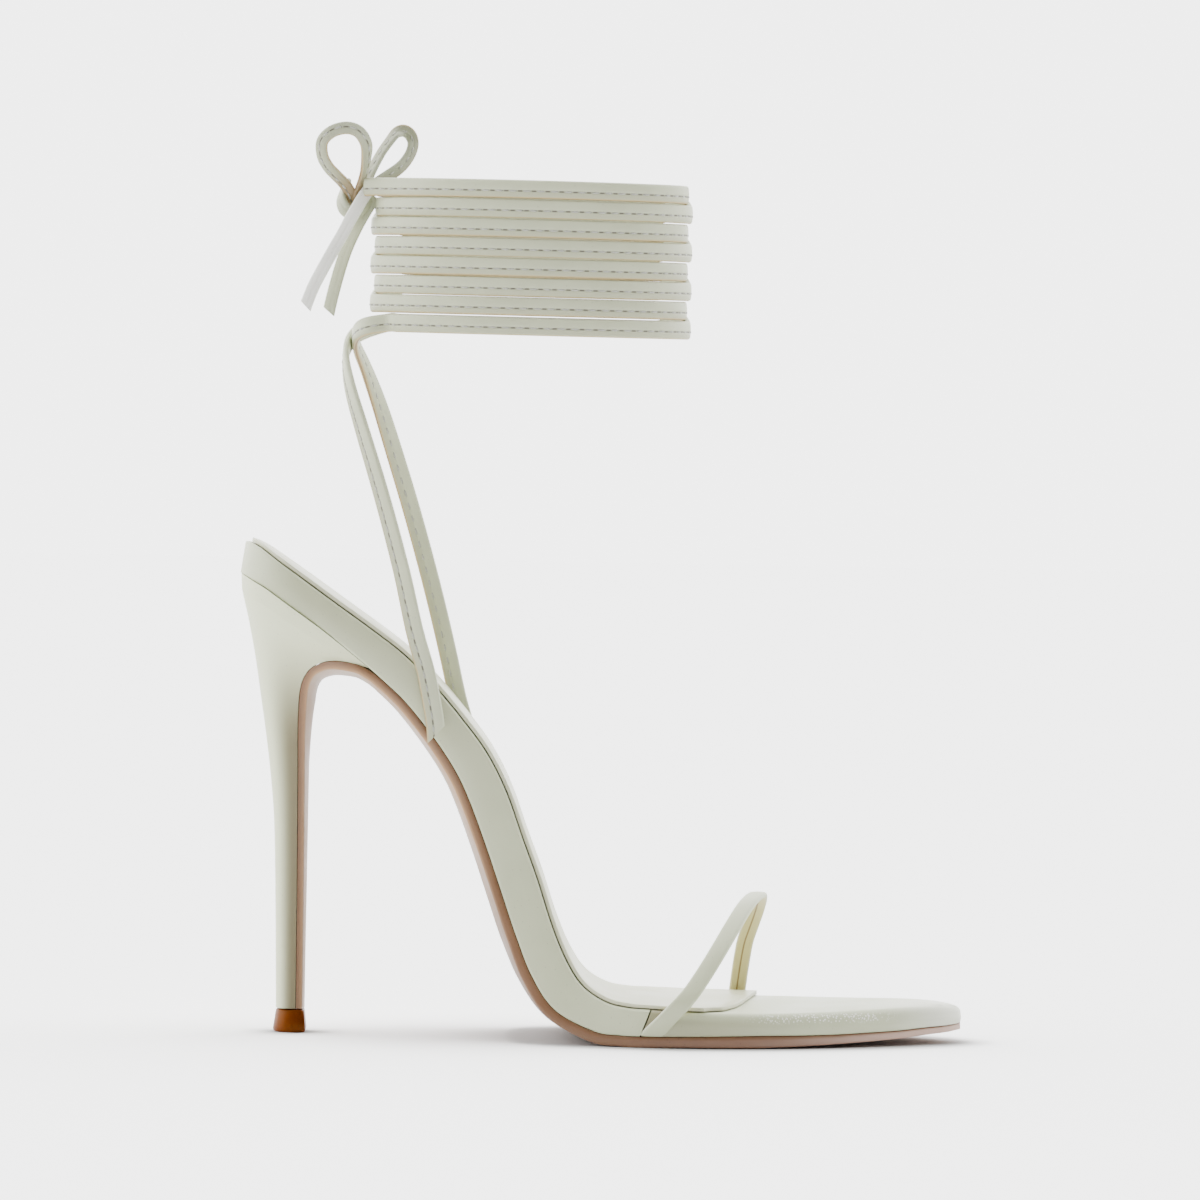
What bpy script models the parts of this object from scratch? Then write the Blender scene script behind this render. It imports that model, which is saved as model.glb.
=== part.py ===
"""Lace up heeled sandal, right foot, standing empty on its heel tip and forefoot.

Metres, +Z up. +X points to the toe, -Y is the outer side of the foot and z = 0 is the floor.
The tables are in millimetres, a row for each rib, section or bend, and MM turns them into metres.
"""

import math

import bmesh
import bpy
from mathutils import Vector

MM = 0.001

# Driving sizes, in millimetres
GAP = 0.3
LACE_WIDTH = 4.6
LACE_THICK = 1.8
CUFF_CENTRE_X = -21.2
CUFF_HALF_LENGTH = 41.4
CUFF_HALF_WIDTH = 27.2
CUFF_BOTTOM_ROW = 188.2
CUFF_PITCH = 5.13
CUFF_HALF_TURNS = 8
CUFF_TILT = 0.5
CUFF_LEAN = 1.9
HALF_TURN_STEPS = 14
CROSS_STEP = 0.75
CROSS_SPREAD = 26.0
SOCK_THICK = 1.0
SOCK_INSET = 0.9
SOLE_INSET = 0.6
TREAD_FLAT = 0.16
TIP_HEIGHT = 6.1

# Ribs of the covered board, from the back of the seat to the toe: the top and the bottom of its
# edge in side view, and how far it reaches to the outer and to the inner side.
# top_x, top_z, low_x, low_z, outer, inner
BOARD = (
    (-95.9, 130.4, -97.1, 122.4, 2.0, 2.0),
    (-95.3, 130.6, -96.7, 122.2, 7.5, 7.5),
    (-93.8, 130.1, -95.4, 121.6, 12.6, 12.6),
    (-91.0, 128.7, -93.0, 120.2, 17.0, 17.0),
    (-86.6, 125.6, -89.2, 118.1, 20.6, 20.6),
    (-80.0, 121.0, -83.5, 114.1, 23.1, 23.1),
    (-70.5, 114.3, -74.7, 108.0, 24.4, 24.4),
    (-60.5, 107.3, -65.4, 100.8, 24.8, 24.8),
    (-52.6, 101.3, -58.3, 94.8, 24.4, 24.4),
    (-45.2, 94.0, -51.7, 88.6, 23.4, 23.4),
    (-37.3, 84.8, -44.1, 79.2, 22.3, 22.3),
    (-30.6, 75.9, -38.4, 70.6, 21.4, 21.4),
    (-25.3, 65.8, -34.5, 62.4, 21.0, 21.0),
    (-20.8, 53.7, -29.9, 50.4, 21.4, 21.2),
    (-16.6, 42.6, -26.0, 39.4, 22.4, 22.0),
    (-12.8, 31.3, -22.0, 28.2, 24.2, 23.6),
    (-8.9, 22.3, -17.5, 17.5, 26.8, 26.0),
    (-4.4, 15.6, -11.3, 9.0, 29.8, 29.0),
    (1.8, 11.6, -1.0, 3.9, 32.8, 32.0),
    (7.7, 10.3, 6.7, 3.1, 34.8, 34.0),
    (13.3, 10.0, 12.7, 3.0, 36.0, 35.4),
    (22.0, 9.6, 21.8, 3.1, 36.6, 36.4),
    (32.0, 9.4, 32.0, 3.3, 36.0, 36.8),
    (42.0, 9.3, 42.0, 3.5, 34.0, 36.0),
    (52.0, 9.4, 52.0, 3.5, 30.8, 33.8),
    (62.0, 9.6, 62.0, 3.6, 26.4, 30.4),
    (71.5, 9.9, 71.5, 3.9, 21.3, 26.0),
    (79.5, 10.2, 79.6, 4.2, 16.2, 21.3),
    (86.5, 10.3, 86.8, 4.7, 11.0, 16.2),
    (92.0, 10.1, 92.6, 5.0, 6.2, 11.2),
    (95.6, 9.4, 96.3, 5.4, 1.8, 6.6),
    (96.9, 8.4, 97.1, 6.3, -1.0, 3.8),
)
COVER_START = 20.0

# Rounding of the board's top edges and how much its top is crowned, by rib
# rib, radius, crown
EDGE_RADIUS = (
    (0.0, 0.7, 0.0),
    (20.0, 0.9, 0.0),
    (22.8, 1.6, 0.0),
    (25.0, 2.6, 0.5),
    (31.0, 2.4, 0.3),
)

# The sole follows the low edge of the board from the toe to the waist, then the front of the
# heel, which is the breast: where it runs, and its half width there.
# x, z, half
BREAST = (
    (-61.3, 97.0, 23.7),
    (-64.2, 98.5, 23.2),
    (-67.4, 99.2, 22.0),
    (-71.0, 99.5, 20.0),
    (-74.2, 99.0, 17.8),
    (-77.4, 97.4, 15.2),
    (-79.4, 94.8, 12.9),
    (-80.5, 91.2, 10.9),
    (-80.9, 86.0, 9.2),
    (-81.0, 79.5, 7.9),
    (-80.9, 71.0, 6.7),
    (-80.8, 58.0, 5.6),
    (-80.7, 43.0, 4.9),
    (-80.6, 27.0, 4.5),
    (-80.5, 6.4, 4.4),
)
SOLE_TIP = (96.8, 5.45, -1.2, 3.4)
WAIST_RIB = 8
# Thickness of the sole's edge and how far its underside swells below it, by rib of the board
# rib, edge, swell
SOLE = (
    (-16.0, 1.8, 0.3),
    (-9.0, 1.9, 0.8),
    (-5.0, 2.2, 1.8),
    (1.0, 2.3, 1.9),
    (8.0, 2.3, 1.6),
    (15.0, 2.5, 2.1),
    (17.0, 2.7, 1.3),
    (18.0, 2.9, 0.4),
    (19.0, 2.8, 0.0),
    (21.0, 2.8, 0.0),
    (23.0, 3.2, 0.0),
    (25.0, 2.5, 0.0),
    (28.0, 1.9, 0.0),
    (31.0, 1.5, 0.0),
)

# Sections of the heel from the seat down: its back, and its greatest half width. The front of
# each section lies on a row of the breast.
# back_x, back_z, half, breast_row
HEEL = (
    (-96.7, 118.2, 22.8, 2),
    (-95.9, 114.4, 20.8, 3),
    (-94.9, 110.2, 18.4, 4),
    (-93.9, 105.3, 15.9, 5),
    (-92.9, 100.0, 13.6, 6),
    (-92.0, 94.4, 11.6, 7),
    (-91.0, 87.8, 10.0, 8),
    (-89.8, 80.0, 8.7, 9),
    (-88.6, 71.0, 7.4, 10),
    (-87.3, 58.0, 6.2, 11),
    (-86.7, 43.0, 5.4, 12),
    (-86.3, 27.0, 4.9, 13),
    (-85.9, 6.4, 4.8, 14),
)
HEEL_SIDE_STEPS = 7
SEAT_FRONT_X = -64.2
TIP_TOP = (-85.9, -78.3, 4.8)
TIP_BOTTOM = (-86.6, -77.8, 5.2)

# Front edge of the sock, from the outer to the inner side
# x, y
SOCK_FRONT = (
    (27.7, -35.0),
    (32.7, -30.0),
    (36.4, -17.0),
    (38.7, -2.0),
    (40.3, 12.0),
    (42.4, 28.0),
    (43.3, 32.5),
)
SOCK_FIRST_RIB = 1.75
SOCK_ROUND_END = 4.5

# Middle line of the toe strap from the outer to the inner side
# x, y, z
TOE_STRAP = (
    (14.9, -37.9, 4.9),
    (18.0, -38.0, 7.1),
    (21.1, -37.8, 10.0),
    (24.4, -36.4, 14.9),
    (28.3, -33.0, 20.6),
    (33.0, -27.0, 28.1),
    (37.3, -18.0, 34.8),
    (40.1, -10.0, 37.8),
    (41.9, -2.0, 38.6),
    (42.7, 8.0, 37.6),
    (42.5, 17.0, 34.4),
    (41.2, 24.5, 29.3),
    (39.8, 30.0, 24.0),
    (38.9, 34.6, 17.5),
    (38.2, 37.4, 11.0),
    (37.8, 38.1, 7.0),
    (37.5, 38.1, 3.8),
)

# The ties from the arch to the cuff: middle line, and the bearing in degrees that the outer
# face looks to, 90 inwards, 180 backwards and 270 or -90 to the outer side.
# x, y, z, bearing
OUTER_RISER = (
    (-43.9, -24.3, 80.6, -90.0),
    (-44.3, -24.7, 84.5, -91.0),
    (-45.5, -25.0, 91.0, -93.0),
    (-46.9, -25.1, 97.6, -97.0),
    (-50.0, -25.2, 108.0, -106.0),
    (-53.7, -25.0, 123.7, -118.0),
    (-59.3, -23.0, 143.3, -126.0),
    (-65.0, -19.0, 161.0, -138.0),
    (-68.3, -14.5, 171.4, -152.0),
    (-69.9, -7.5, 179.0, -170.0),
    (-69.4, 1.5, 183.9, -190.0),
    (-66.4, 9.0, 187.2, -206.0),
)
INNER_RISER = (
    (-37.2, 23.8, 80.0, 90.0),
    (-37.8, 24.1, 84.0, 90.0),
    (-39.5, 24.6, 90.0, 91.0),
    (-42.6, 24.8, 103.3, 93.0),
    (-46.9, 24.4, 120.0, 96.0),
    (-52.2, 23.4, 138.5, 100.0),
    (-57.6, 20.8, 155.7, 112.0),
    (-61.6, 16.5, 168.0, 130.0),
    (-65.1, 10.0, 177.4, 155.0),
    (-67.5, 2.5, 183.2, 178.0),
    (-67.4, -4.5, 186.2, 196.0),
    (-64.6, -10.5, 188.0, 212.0),
)

# The bow: middle lines of its loops and ends, with the bearing of their flat face
# x, y, z, bearing
LOOP_NEAR = (
    (-70.2, -3.5, 224.8, 250.0),
    (-71.2, -5.2, 226.2, 248.0),
    (-73.1, -8.0, 227.9, 246.0),
    (-75.3, -10.6, 230.0, 244.0),
    (-76.8, -12.4, 233.0, 246.0),
    (-76.8, -13.6, 236.6, 250.0),
    (-74.2, -14.4, 239.2, 256.0),
    (-70.4, -14.4, 240.2, 258.0),
    (-67.2, -13.4, 239.2, 262.0),
    (-65.3, -11.6, 236.2, 272.0),
    (-65.3, -9.2, 232.6, 288.0),
    (-65.9, -6.4, 229.0, 300.0),
    (-66.7, -4.2, 226.2, 300.0),
)
LOOP_FAR = (
    (-66.8, 2.6, 225.2, 92.0),
    (-65.1, 5.6, 228.6, 80.0),
    (-63.7, 8.0, 231.8, 72.0),
    (-61.9, 10.6, 235.4, 66.0),
    (-59.6, 13.2, 239.0, 66.0),
    (-57.6, 15.0, 241.2, 74.0),
    (-55.7, 15.8, 241.3, 84.0),
    (-54.3, 15.8, 239.4, 100.0),
    (-54.3, 15.0, 236.8, 112.0),
    (-55.6, 13.4, 234.0, 116.0),
    (-57.8, 11.0, 231.4, 116.0),
    (-60.8, 8.0, 230.4, 116.0),
)
END_1 = (
    (-69.0, -3.8, 218.8, 262.0),
    (-69.4, -6.4, 216.4, 262.0),
    (-71.3, -8.0, 212.4, 262.0),
    (-73.8, -9.2, 207.8, 262.0),
    (-76.2, -10.2, 203.2, 262.0),
    (-78.5, -10.8, 198.6, 262.0),
    (-80.0, -11.2, 194.8, 262.0),
    (-80.5, -11.3, 193.3, 262.0),
)
END_2 = (
    (-68.1, -0.7, 217.1, 248.0),
    (-69.8, -1.6, 212.5, 252.0),
    (-71.2, -2.2, 208.0, 256.0),
    (-72.3, -2.5, 203.6, 258.0),
    (-73.3, -2.5, 199.1, 260.0),
    (-74.1, -2.5, 195.2, 260.0),
    (-74.7, -2.5, 192.0, 260.0),
)
BOW_WIDTH = 3.4
KNOT_CENTRE = (-68.4, -0.3, 222.0)
KNOT_RADII = (3.8, 4.6, 4.3)


def smooth_row(rows, place):
    """The row at a fractional place in a table, on a smooth curve through its rows."""
    last = len(rows) - 1
    place = min(max(place, 0.0), float(last))
    low = min(int(place), last - 1)
    part = place - low
    before = rows[max(low - 1, 0)]
    start = rows[low]
    end = rows[low + 1]
    after = rows[min(low + 2, last)]
    row = []
    for a, b, c, d in zip(before, start, end, after):
        lift = part * (2.0 * a - 5.0 * b + 4.0 * c - d + part * (3.0 * b - a - 3.0 * c + d))
        row.append(b + 0.5 * part * (c - a + lift))
    return row


def straight_row(rows, key):
    """The values beside a key in a table, in straight steps between its rows."""
    if key <= rows[0][0]:
        return rows[0][1:]
    for low, high in zip(rows, rows[1:]):
        if key <= high[0]:
            part = (key - low[0]) / (high[0] - low[0])
            return [a + (b - a) * part for a, b in zip(low[1:], high[1:])]
    return rows[-1][1:]


def places(first, last, step):
    """Even steps from first to last, with both of them in."""
    count = max(1, round((last - first) / step))
    return [first + (last - first) * i / count for i in range(count + 1)]


def new_collection(name):
    """A new collection in the scene."""
    made = bpy.data.collections.new(name)
    bpy.context.scene.collection.children.link(made)
    return made


def material(name, colour, roughness):
    """A plain leather or rubber material."""
    made = bpy.data.materials.new(name)
    made.use_nodes = True
    shader = made.node_tree.nodes["Principled BSDF"]
    shader.inputs["Base Color"].default_value = (*colour, 1.0)
    shader.inputs["Roughness"].default_value = roughness
    shader.inputs["Metallic"].default_value = 0.0
    return made


def put(name, work, collection, finish):
    """Turn a bmesh into a smooth shaded object with its material."""
    bmesh.ops.recalc_face_normals(work, faces=work.faces)
    mesh = bpy.data.meshes.new(name)
    work.to_mesh(mesh)
    work.free()
    mesh.shade_smooth()
    mesh.set_sharp_from_angle(angle=math.radians(40.0))
    mesh.materials.append(finish)
    made = bpy.data.objects.new(name, mesh)
    collection.objects.link(made)
    return made


def loft(rings, first_cap="flat", last_cap="flat"):
    """Join rings of points, in millimetres, into one closed form."""
    work = bmesh.new()
    loops = [[work.verts.new(Vector(p) * MM) for p in ring] for ring in rings]
    count = len(loops[0])
    for low, high in zip(loops, loops[1:]):
        for i in range(count):
            j = (i + 1) % count
            work.faces.new((low[i], low[j], high[j], high[i]))
    for loop, cap in ((loops[0], first_cap), (loops[-1], last_cap)):
        if cap == "flat":
            work.faces.new(loop)
        else:
            cap_in_strips(work, loop)
    return work


def cap_in_strips(work, loop):
    """Close a ring that bends, with strips from one side to the other."""
    half = len(loop) // 2
    left = loop[:half]
    right = loop[:half - 1:-1]
    for i in range(half - 1):
        work.faces.new((left[i], left[i + 1], right[i + 1], right[i]))


def board_ring(rib, radius, crown):
    """Outline of the board at a rib, with rounded edges and a crowned top."""
    top_x, top_z, low_x, low_z, outer, inner = rib
    depth = math.hypot(low_x - top_x, low_z - top_z)
    middle = (inner - outer) / 2.0
    half = (inner + outer) / 2.0
    round_top = min(radius, half * 0.6, depth * 0.45)
    round_low = min(0.6, half * 0.3)
    corner = 0.29 * round_top
    side = (
        (half * 0.5, -crown * 0.8),
        (half - round_top, 0.0),
        (half - corner, corner),
        (half, round_top),
        (half + 0.25, (round_top + depth) / 2.0),
        (half, depth - round_low),
        (half - round_low, depth),
    )
    outline = [(-y, d) for y, d in side]
    outline += [(y, d) for y, d in reversed(side)]
    outline.append((0.0, -crown))
    points = []
    for y, d in outline:
        part = d / depth
        points.append((top_x + (low_x - top_x) * part, middle + y, top_z + (low_z - top_z) * part))
    return points


def board_piece(first, last):
    """A stretch of the board between two ribs."""
    rings = []
    for place in places(first, last, 0.5):
        radius, crown = straight_row(EDGE_RADIUS, place)
        rings.append(board_ring(smooth_row(BOARD, place), radius, crown))
    return loft(rings)


def sock_ring(place):
    """Outline of the sock at a rib of the board."""
    top_x, top_z, low_x, low_z, outer, inner = smooth_row(BOARD, place)
    depth = math.hypot(low_x - top_x, low_z - top_z)
    up_x = (top_x - low_x) / depth
    up_z = (top_z - low_z) / depth
    share = 1.0
    if place < SOCK_ROUND_END:
        back = (SOCK_ROUND_END - place) / (SOCK_ROUND_END - SOCK_FIRST_RIB + 0.02)
        share = math.sqrt(1.0 - back * back)
    near = -(outer - SOCK_INSET) * share
    far = (inner - SOCK_INSET) * share
    if top_x > SOCK_FRONT[0][0]:
        near = max(near, straight_row(SOCK_FRONT, top_x)[0])
    bevel = min(0.4, (far - near) * 0.2)
    outline = (
        (near, GAP),
        (near, GAP + SOCK_THICK * 0.6),
        (near + bevel, GAP + SOCK_THICK),
        (far - bevel, GAP + SOCK_THICK),
        (far, GAP + SOCK_THICK * 0.6),
        (far, GAP),
    )
    return [(top_x + up_x * d, y, top_z + up_z * d) for y, d in outline]


def rib_of_top_x(x):
    """The place among the board's ribs where its top edge has this x."""
    for i, (low, high) in enumerate(zip(BOARD, BOARD[1:])):
        if low[0] <= x <= high[0]:
            return i + (x - low[0]) / (high[0] - low[0])
    return float(len(BOARD) - 1)


def make_sock():
    """The sock, from its round back to its curved front edge."""
    back = places(SOCK_FIRST_RIB, SOCK_ROUND_END, 0.35)
    middle = places(SOCK_ROUND_END, rib_of_top_x(SOCK_FRONT[0][0]), 0.6)
    front = [rib_of_top_x(row[0]) for row in SOCK_FRONT]
    return loft([sock_ring(place) for place in back + middle[1:] + front[1:]])


def sole_line():
    """The upper line of the sole from toe to heel tip: x, z, outer and inner reach, and its rib."""
    rows = [(*SOLE_TIP, len(BOARD) - 1.0)]
    for rib in range(len(BOARD) - 2, WAIST_RIB - 1, -1):
        row = BOARD[rib]
        rows.append((row[2], row[3], row[4] - SOLE_INSET, row[5] - SOLE_INSET, float(rib)))
    for i, row in enumerate(BREAST):
        rows.append((row[0], row[1], row[2], row[2], WAIST_RIB - 1.0 - 1.6 * i))
    return rows


def direction(rows, place):
    """The way that a line in side view runs at a place in its table."""
    ahead = smooth_row(rows, place + 0.02)
    behind = smooth_row(rows, place - 0.02)
    length = math.hypot(ahead[0] - behind[0], ahead[1] - behind[1])
    return (ahead[0] - behind[0]) / length, (ahead[1] - behind[1]) / length


def sole_ring(rows, place):
    """Outline of the sole at a place along its upper line."""
    x, z, outer, inner, rib = smooth_row(rows, place)
    run_x, run_z = direction(rows, place)
    edge, swell = straight_row(SOLE, rib)
    middle = (inner - outer) / 2.0
    half = (inner + outer) / 2.0
    bevel = min(0.5, half * 0.3)
    outline = (
        (-half, 0.0),
        (-half, edge - bevel),
        (-half + bevel, edge),
        (-half * 0.6, edge + swell * 0.62),
        (0.0, edge + swell),
        (half * 0.6, edge + swell * 0.62),
        (half - bevel, edge),
        (half, edge - bevel),
        (half, 0.0),
    )
    points = []
    for y, d in outline:
        down = d + GAP
        low = z + run_x * down
        points.append((x - run_z * down, middle + y, low if low > TREAD_FLAT else 0.0))
    return points


def make_outsole():
    """The sole and the cover of the heel's front, one strip of leather."""
    rows = sole_line()
    rings = [sole_ring(rows, place) for place in places(0.0, len(rows) - 1.0, 0.5)]
    return loft(rings)


def heel_half_width(part, half, front_half, squareness):
    """Half width of a heel section, from 0 at its back to 1 at its front."""
    widest = 0.66
    if part < widest:
        return half * (1.0 - (1.0 - part / widest) ** squareness) ** (1.0 / squareness)
    ease = (part - widest) / (1.0 - widest)
    return half + (front_half - half) * ease * ease


def heel_ring(half, front_half, squareness, line):
    """A heel section along a line in side view from its back to its front."""
    steps = [1.0 - math.cos(i / HEEL_SIDE_STEPS * math.pi / 2.0) for i in range(HEEL_SIDE_STEPS + 1)]
    steps[0] = 0.012
    points = []
    for part in steps:
        y = heel_half_width(part, half, front_half, squareness)
        x, z = line(part)
        points.append((x, -y, z))
    return points + [(x, -y, z) for x, y, z in reversed(points)]


def low_edge_at(x):
    """A point just under the low edge of the board."""
    for i in range(len(BOARD) * 20):
        row = smooth_row(BOARD, i / 20.0)
        if row[2] >= x:
            break
    ahead = smooth_row(BOARD, i / 20.0 + 0.1)
    behind = smooth_row(BOARD, i / 20.0 - 0.1)
    run_x = ahead[2] - behind[2]
    run_z = ahead[3] - behind[3]
    length = math.hypot(run_x, run_z)
    return row[2] + run_z / length * GAP, row[3] - run_x / length * GAP


def make_heel():
    """The covered heel, from its slanted seat to its narrow stem."""
    seat_back = BOARD[0][2] + 0.3

    def seat(part):
        return low_edge_at(seat_back + (SEAT_FRONT_X - seat_back) * part)

    rings = [heel_ring(24.6, 23.2, 2.7, seat)]
    for step, (back_x, back_z, half, row) in enumerate(HEEL):
        front = BREAST[row]
        squareness = 2.0 + 0.6 * math.exp(-step / 2.0)

        def level(part, back_x=back_x, back_z=back_z, front=front):
            return back_x + (front[0] - back_x) * part, back_z + (front[1] - back_z) * part

        rings.append(heel_ring(half, front[2], squareness, level))
    return loft(rings, first_cap="strips")


def make_top_piece():
    """The tip under the heel, flat on the floor."""
    rings = []
    for (back, front, half), z in ((TIP_TOP, TIP_HEIGHT), (TIP_BOTTOM, 0.5), (TIP_BOTTOM, 0.0)):
        draw_in = 0.4 if z == 0.0 else 0.0

        def level(part, back=back + draw_in, front=front - draw_in, z=z):
            return back + (front - back) * part, z

        rings.append(heel_ring(half - draw_in, half - 1.0 - draw_in, 2.0, level))
    return loft(rings)


def strap_section(width, thick):
    """Half of the points of a flat strap's rounded outline, across and outwards."""
    side = width / 2.0
    face = thick / 2.0
    soft = min(0.6, side * 0.4)
    quarter = ((side, face * 0.35), (side - soft, face))
    outline = [(a, b) for a, b in quarter]
    outline += [(-a, b) for a, b in reversed(quarter)]
    outline += [(-a, -b) for a, b in quarter]
    outline += [(a, -b) for a, b in reversed(quarter)]
    return outline


def strap_rings(points, faces, width, thick, start_slant=0.0):
    """Rings of a flat strap along points, each with the way that its outer face looks."""
    rings = []
    section = strap_section(width, thick)
    for i, (point, face) in enumerate(zip(points, faces)):
        ahead = points[min(i + 1, len(points) - 1)]
        behind = points[max(i - 1, 0)]
        run = (ahead - behind).normalized()
        out = (face - run * face.dot(run)).normalized()
        across = out.cross(run)
        slant = start_slant if i == 0 else 0.0
        rings.append([point + across * a + out * b + run * (a * slant) for a, b in section])
    return rings


def bearing_face(bearing):
    """The level way that a bearing in degrees names."""
    turn = math.radians(bearing)
    return Vector((math.cos(turn), math.sin(turn), 0.0))


def make_toe_strap():
    """The strap across the toes, lying as flat to the foot as its slant allows."""
    points = [Vector(smooth_row(TOE_STRAP, p)) for p in places(0.0, len(TOE_STRAP) - 1.0, 0.8)]
    faces = []
    for i in range(len(points)):
        run = points[min(i + 1, len(points) - 1)] - points[max(i - 1, 0)]
        faces.append(run.cross(Vector((-1.0, 0.0, 0.0))).normalized())
    return loft(strap_rings(points, faces, LACE_WIDTH, LACE_THICK))


def cuff_rows(side):
    """Middle line of one tie in the cuff. side is 1 from the inner and -1 from the outer riser."""
    rows = []
    last = CUFF_HALF_TURNS * HALF_TURN_STEPS
    for step in range(2, last + 3):
        half_turns = step / HALF_TURN_STEPS
        turn = math.pi * (1.0 + side * half_turns)
        nearest = round(half_turns)
        away = math.degrees(math.pi * abs(half_turns - nearest))
        bump = 0.5 + 0.5 * math.cos(math.pi * min(away / CROSS_SPREAD, 1.0))
        outside = side if nearest % 2 else -side
        whole = min(int(half_turns), CUFF_HALF_TURNS - 1)
        row = float(whole)
        if 0 < nearest < CUFF_HALF_TURNS:
            signed = math.degrees(math.pi * (half_turns - nearest)) / CROSS_SPREAD
            ease = 0.5 + 0.5 * math.sin(math.pi / 2.0 * max(-1.0, min(1.0, signed)))
            row = nearest - 1.0 + ease
        grow = CROSS_STEP * bump * outside
        x = (CUFF_HALF_LENGTH + grow) * math.cos(turn)
        y = (CUFF_HALF_WIDTH + grow) * math.sin(turn)
        z = CUFF_BOTTOM_ROW + CUFF_PITCH * row - x * math.tan(math.radians(CUFF_TILT))
        z += (CUFF_HALF_WIDTH + y) * math.tan(math.radians(CUFF_LEAN))
        face = Vector((math.cos(turn) / CUFF_HALF_LENGTH, math.sin(turn) / CUFF_HALF_WIDTH, 0.0))
        rows.append((Vector((CUFF_CENTRE_X + x, y, z)), face.normalized()))
    return rows


def make_tie(riser, side, start_slant):
    """One tie from the arch up and round its turns of the cuff."""
    points = [Vector(row[:3]) for row in riser]
    faces = [bearing_face(row[3]) for row in riser]
    for point, face in cuff_rows(side):
        points.append(point)
        faces.append(face)
    return loft(strap_rings(points, faces, LACE_WIDTH, LACE_THICK, start_slant))


def make_bow_piece(rows):
    """A loop or an end of the bow."""
    smooth = [smooth_row(rows, place) for place in places(0.0, len(rows) - 1.0, 0.7)]
    points = [Vector(row[:3]) for row in smooth]
    faces = [bearing_face(row[3]) for row in smooth]
    return loft(strap_rings(points, faces, BOW_WIDTH, LACE_THICK))


def make_knot():
    """The drawn up middle of the bow."""
    work = bmesh.new()
    bmesh.ops.create_uvsphere(work, u_segments=12, v_segments=8, radius=MM)
    bmesh.ops.scale(work, vec=KNOT_RADII, verts=work.verts)
    bmesh.ops.translate(work, vec=Vector(KNOT_CENTRE) * MM, verts=work.verts)
    return work


def main():
    for old in list(bpy.data.objects):
        bpy.data.objects.remove(old)
    sandal = new_collection("lace_up_heeled_sandal")
    joined = new_collection("joined_in")

    cream = material("cream_leather", (0.72, 0.74, 0.66), 0.45)
    tan = material("tan_leather", (0.50, 0.29, 0.20), 0.50)
    lining = material("lining_leather", (0.74, 0.74, 0.65), 0.55)
    amber = material("amber_rubber", (0.30, 0.15, 0.07), 0.40)

    put("rand", board_piece(0.0, COVER_START), sandal, cream)
    put("front_cover", board_piece(COVER_START + 0.05, len(BOARD) - 1.0), sandal, cream)
    put("sock", make_sock(), sandal, lining)
    put("outsole", make_outsole(), sandal, tan)
    put("heel", make_heel(), sandal, cream)
    put("top_piece", make_top_piece(), sandal, amber)
    put("toe_strap", make_toe_strap(), sandal, cream)

    ties = put("ankle_ties", make_tie(INNER_RISER, 1.0, 0.9), sandal, cream)
    second = put("second_tie", make_tie(OUTER_RISER, -1.0, -0.9), joined, cream)
    second.hide_render = True
    second.display_type = "WIRE"
    join = ties.modifiers.new("join", "BOOLEAN")
    join.operation = "UNION"
    join.solver = "EXACT"
    join.object = second

    put("knot", make_knot(), sandal, cream)
    bow = (("loop_near", LOOP_NEAR), ("loop_far", LOOP_FAR), ("end_1", END_1), ("end_2", END_2))
    for name, rows in bow:
        put(name, make_bow_piece(rows), sandal, cream)


main()
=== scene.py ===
"""Looks of a lace up heeled sandal, right foot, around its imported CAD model.

Metres, +Z up. +X points to the toe, -Y is the outer side of the foot and z = 0 is the floor.
The tables are in millimetres, a row for each rib, section or bend, and MM turns them into metres.
"""

import math

import bmesh
import bpy
from mathutils import Matrix, Vector


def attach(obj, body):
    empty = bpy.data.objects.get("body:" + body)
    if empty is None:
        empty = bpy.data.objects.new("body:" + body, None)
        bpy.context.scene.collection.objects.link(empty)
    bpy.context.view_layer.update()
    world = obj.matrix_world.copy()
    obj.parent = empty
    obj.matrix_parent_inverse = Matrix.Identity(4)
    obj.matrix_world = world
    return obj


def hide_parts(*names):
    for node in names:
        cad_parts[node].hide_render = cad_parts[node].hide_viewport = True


bl_info = {
    "name": "Lace up heeled sandal",
    "version": (1, 0, 0),
    "blender": (4, 5, 0),
    "location": "3D View > Sidebar > Sandal",
    "description": "Builds the leather, ties, stitches and stage of a lace up heeled sandal",
    "category": "Object",
}

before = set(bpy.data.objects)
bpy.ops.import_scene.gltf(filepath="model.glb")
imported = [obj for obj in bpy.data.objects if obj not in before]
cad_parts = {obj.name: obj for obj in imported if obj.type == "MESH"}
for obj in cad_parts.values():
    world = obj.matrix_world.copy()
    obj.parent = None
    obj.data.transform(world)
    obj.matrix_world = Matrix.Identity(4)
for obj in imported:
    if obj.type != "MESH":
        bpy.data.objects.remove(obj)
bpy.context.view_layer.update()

MM = 0.001

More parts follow.
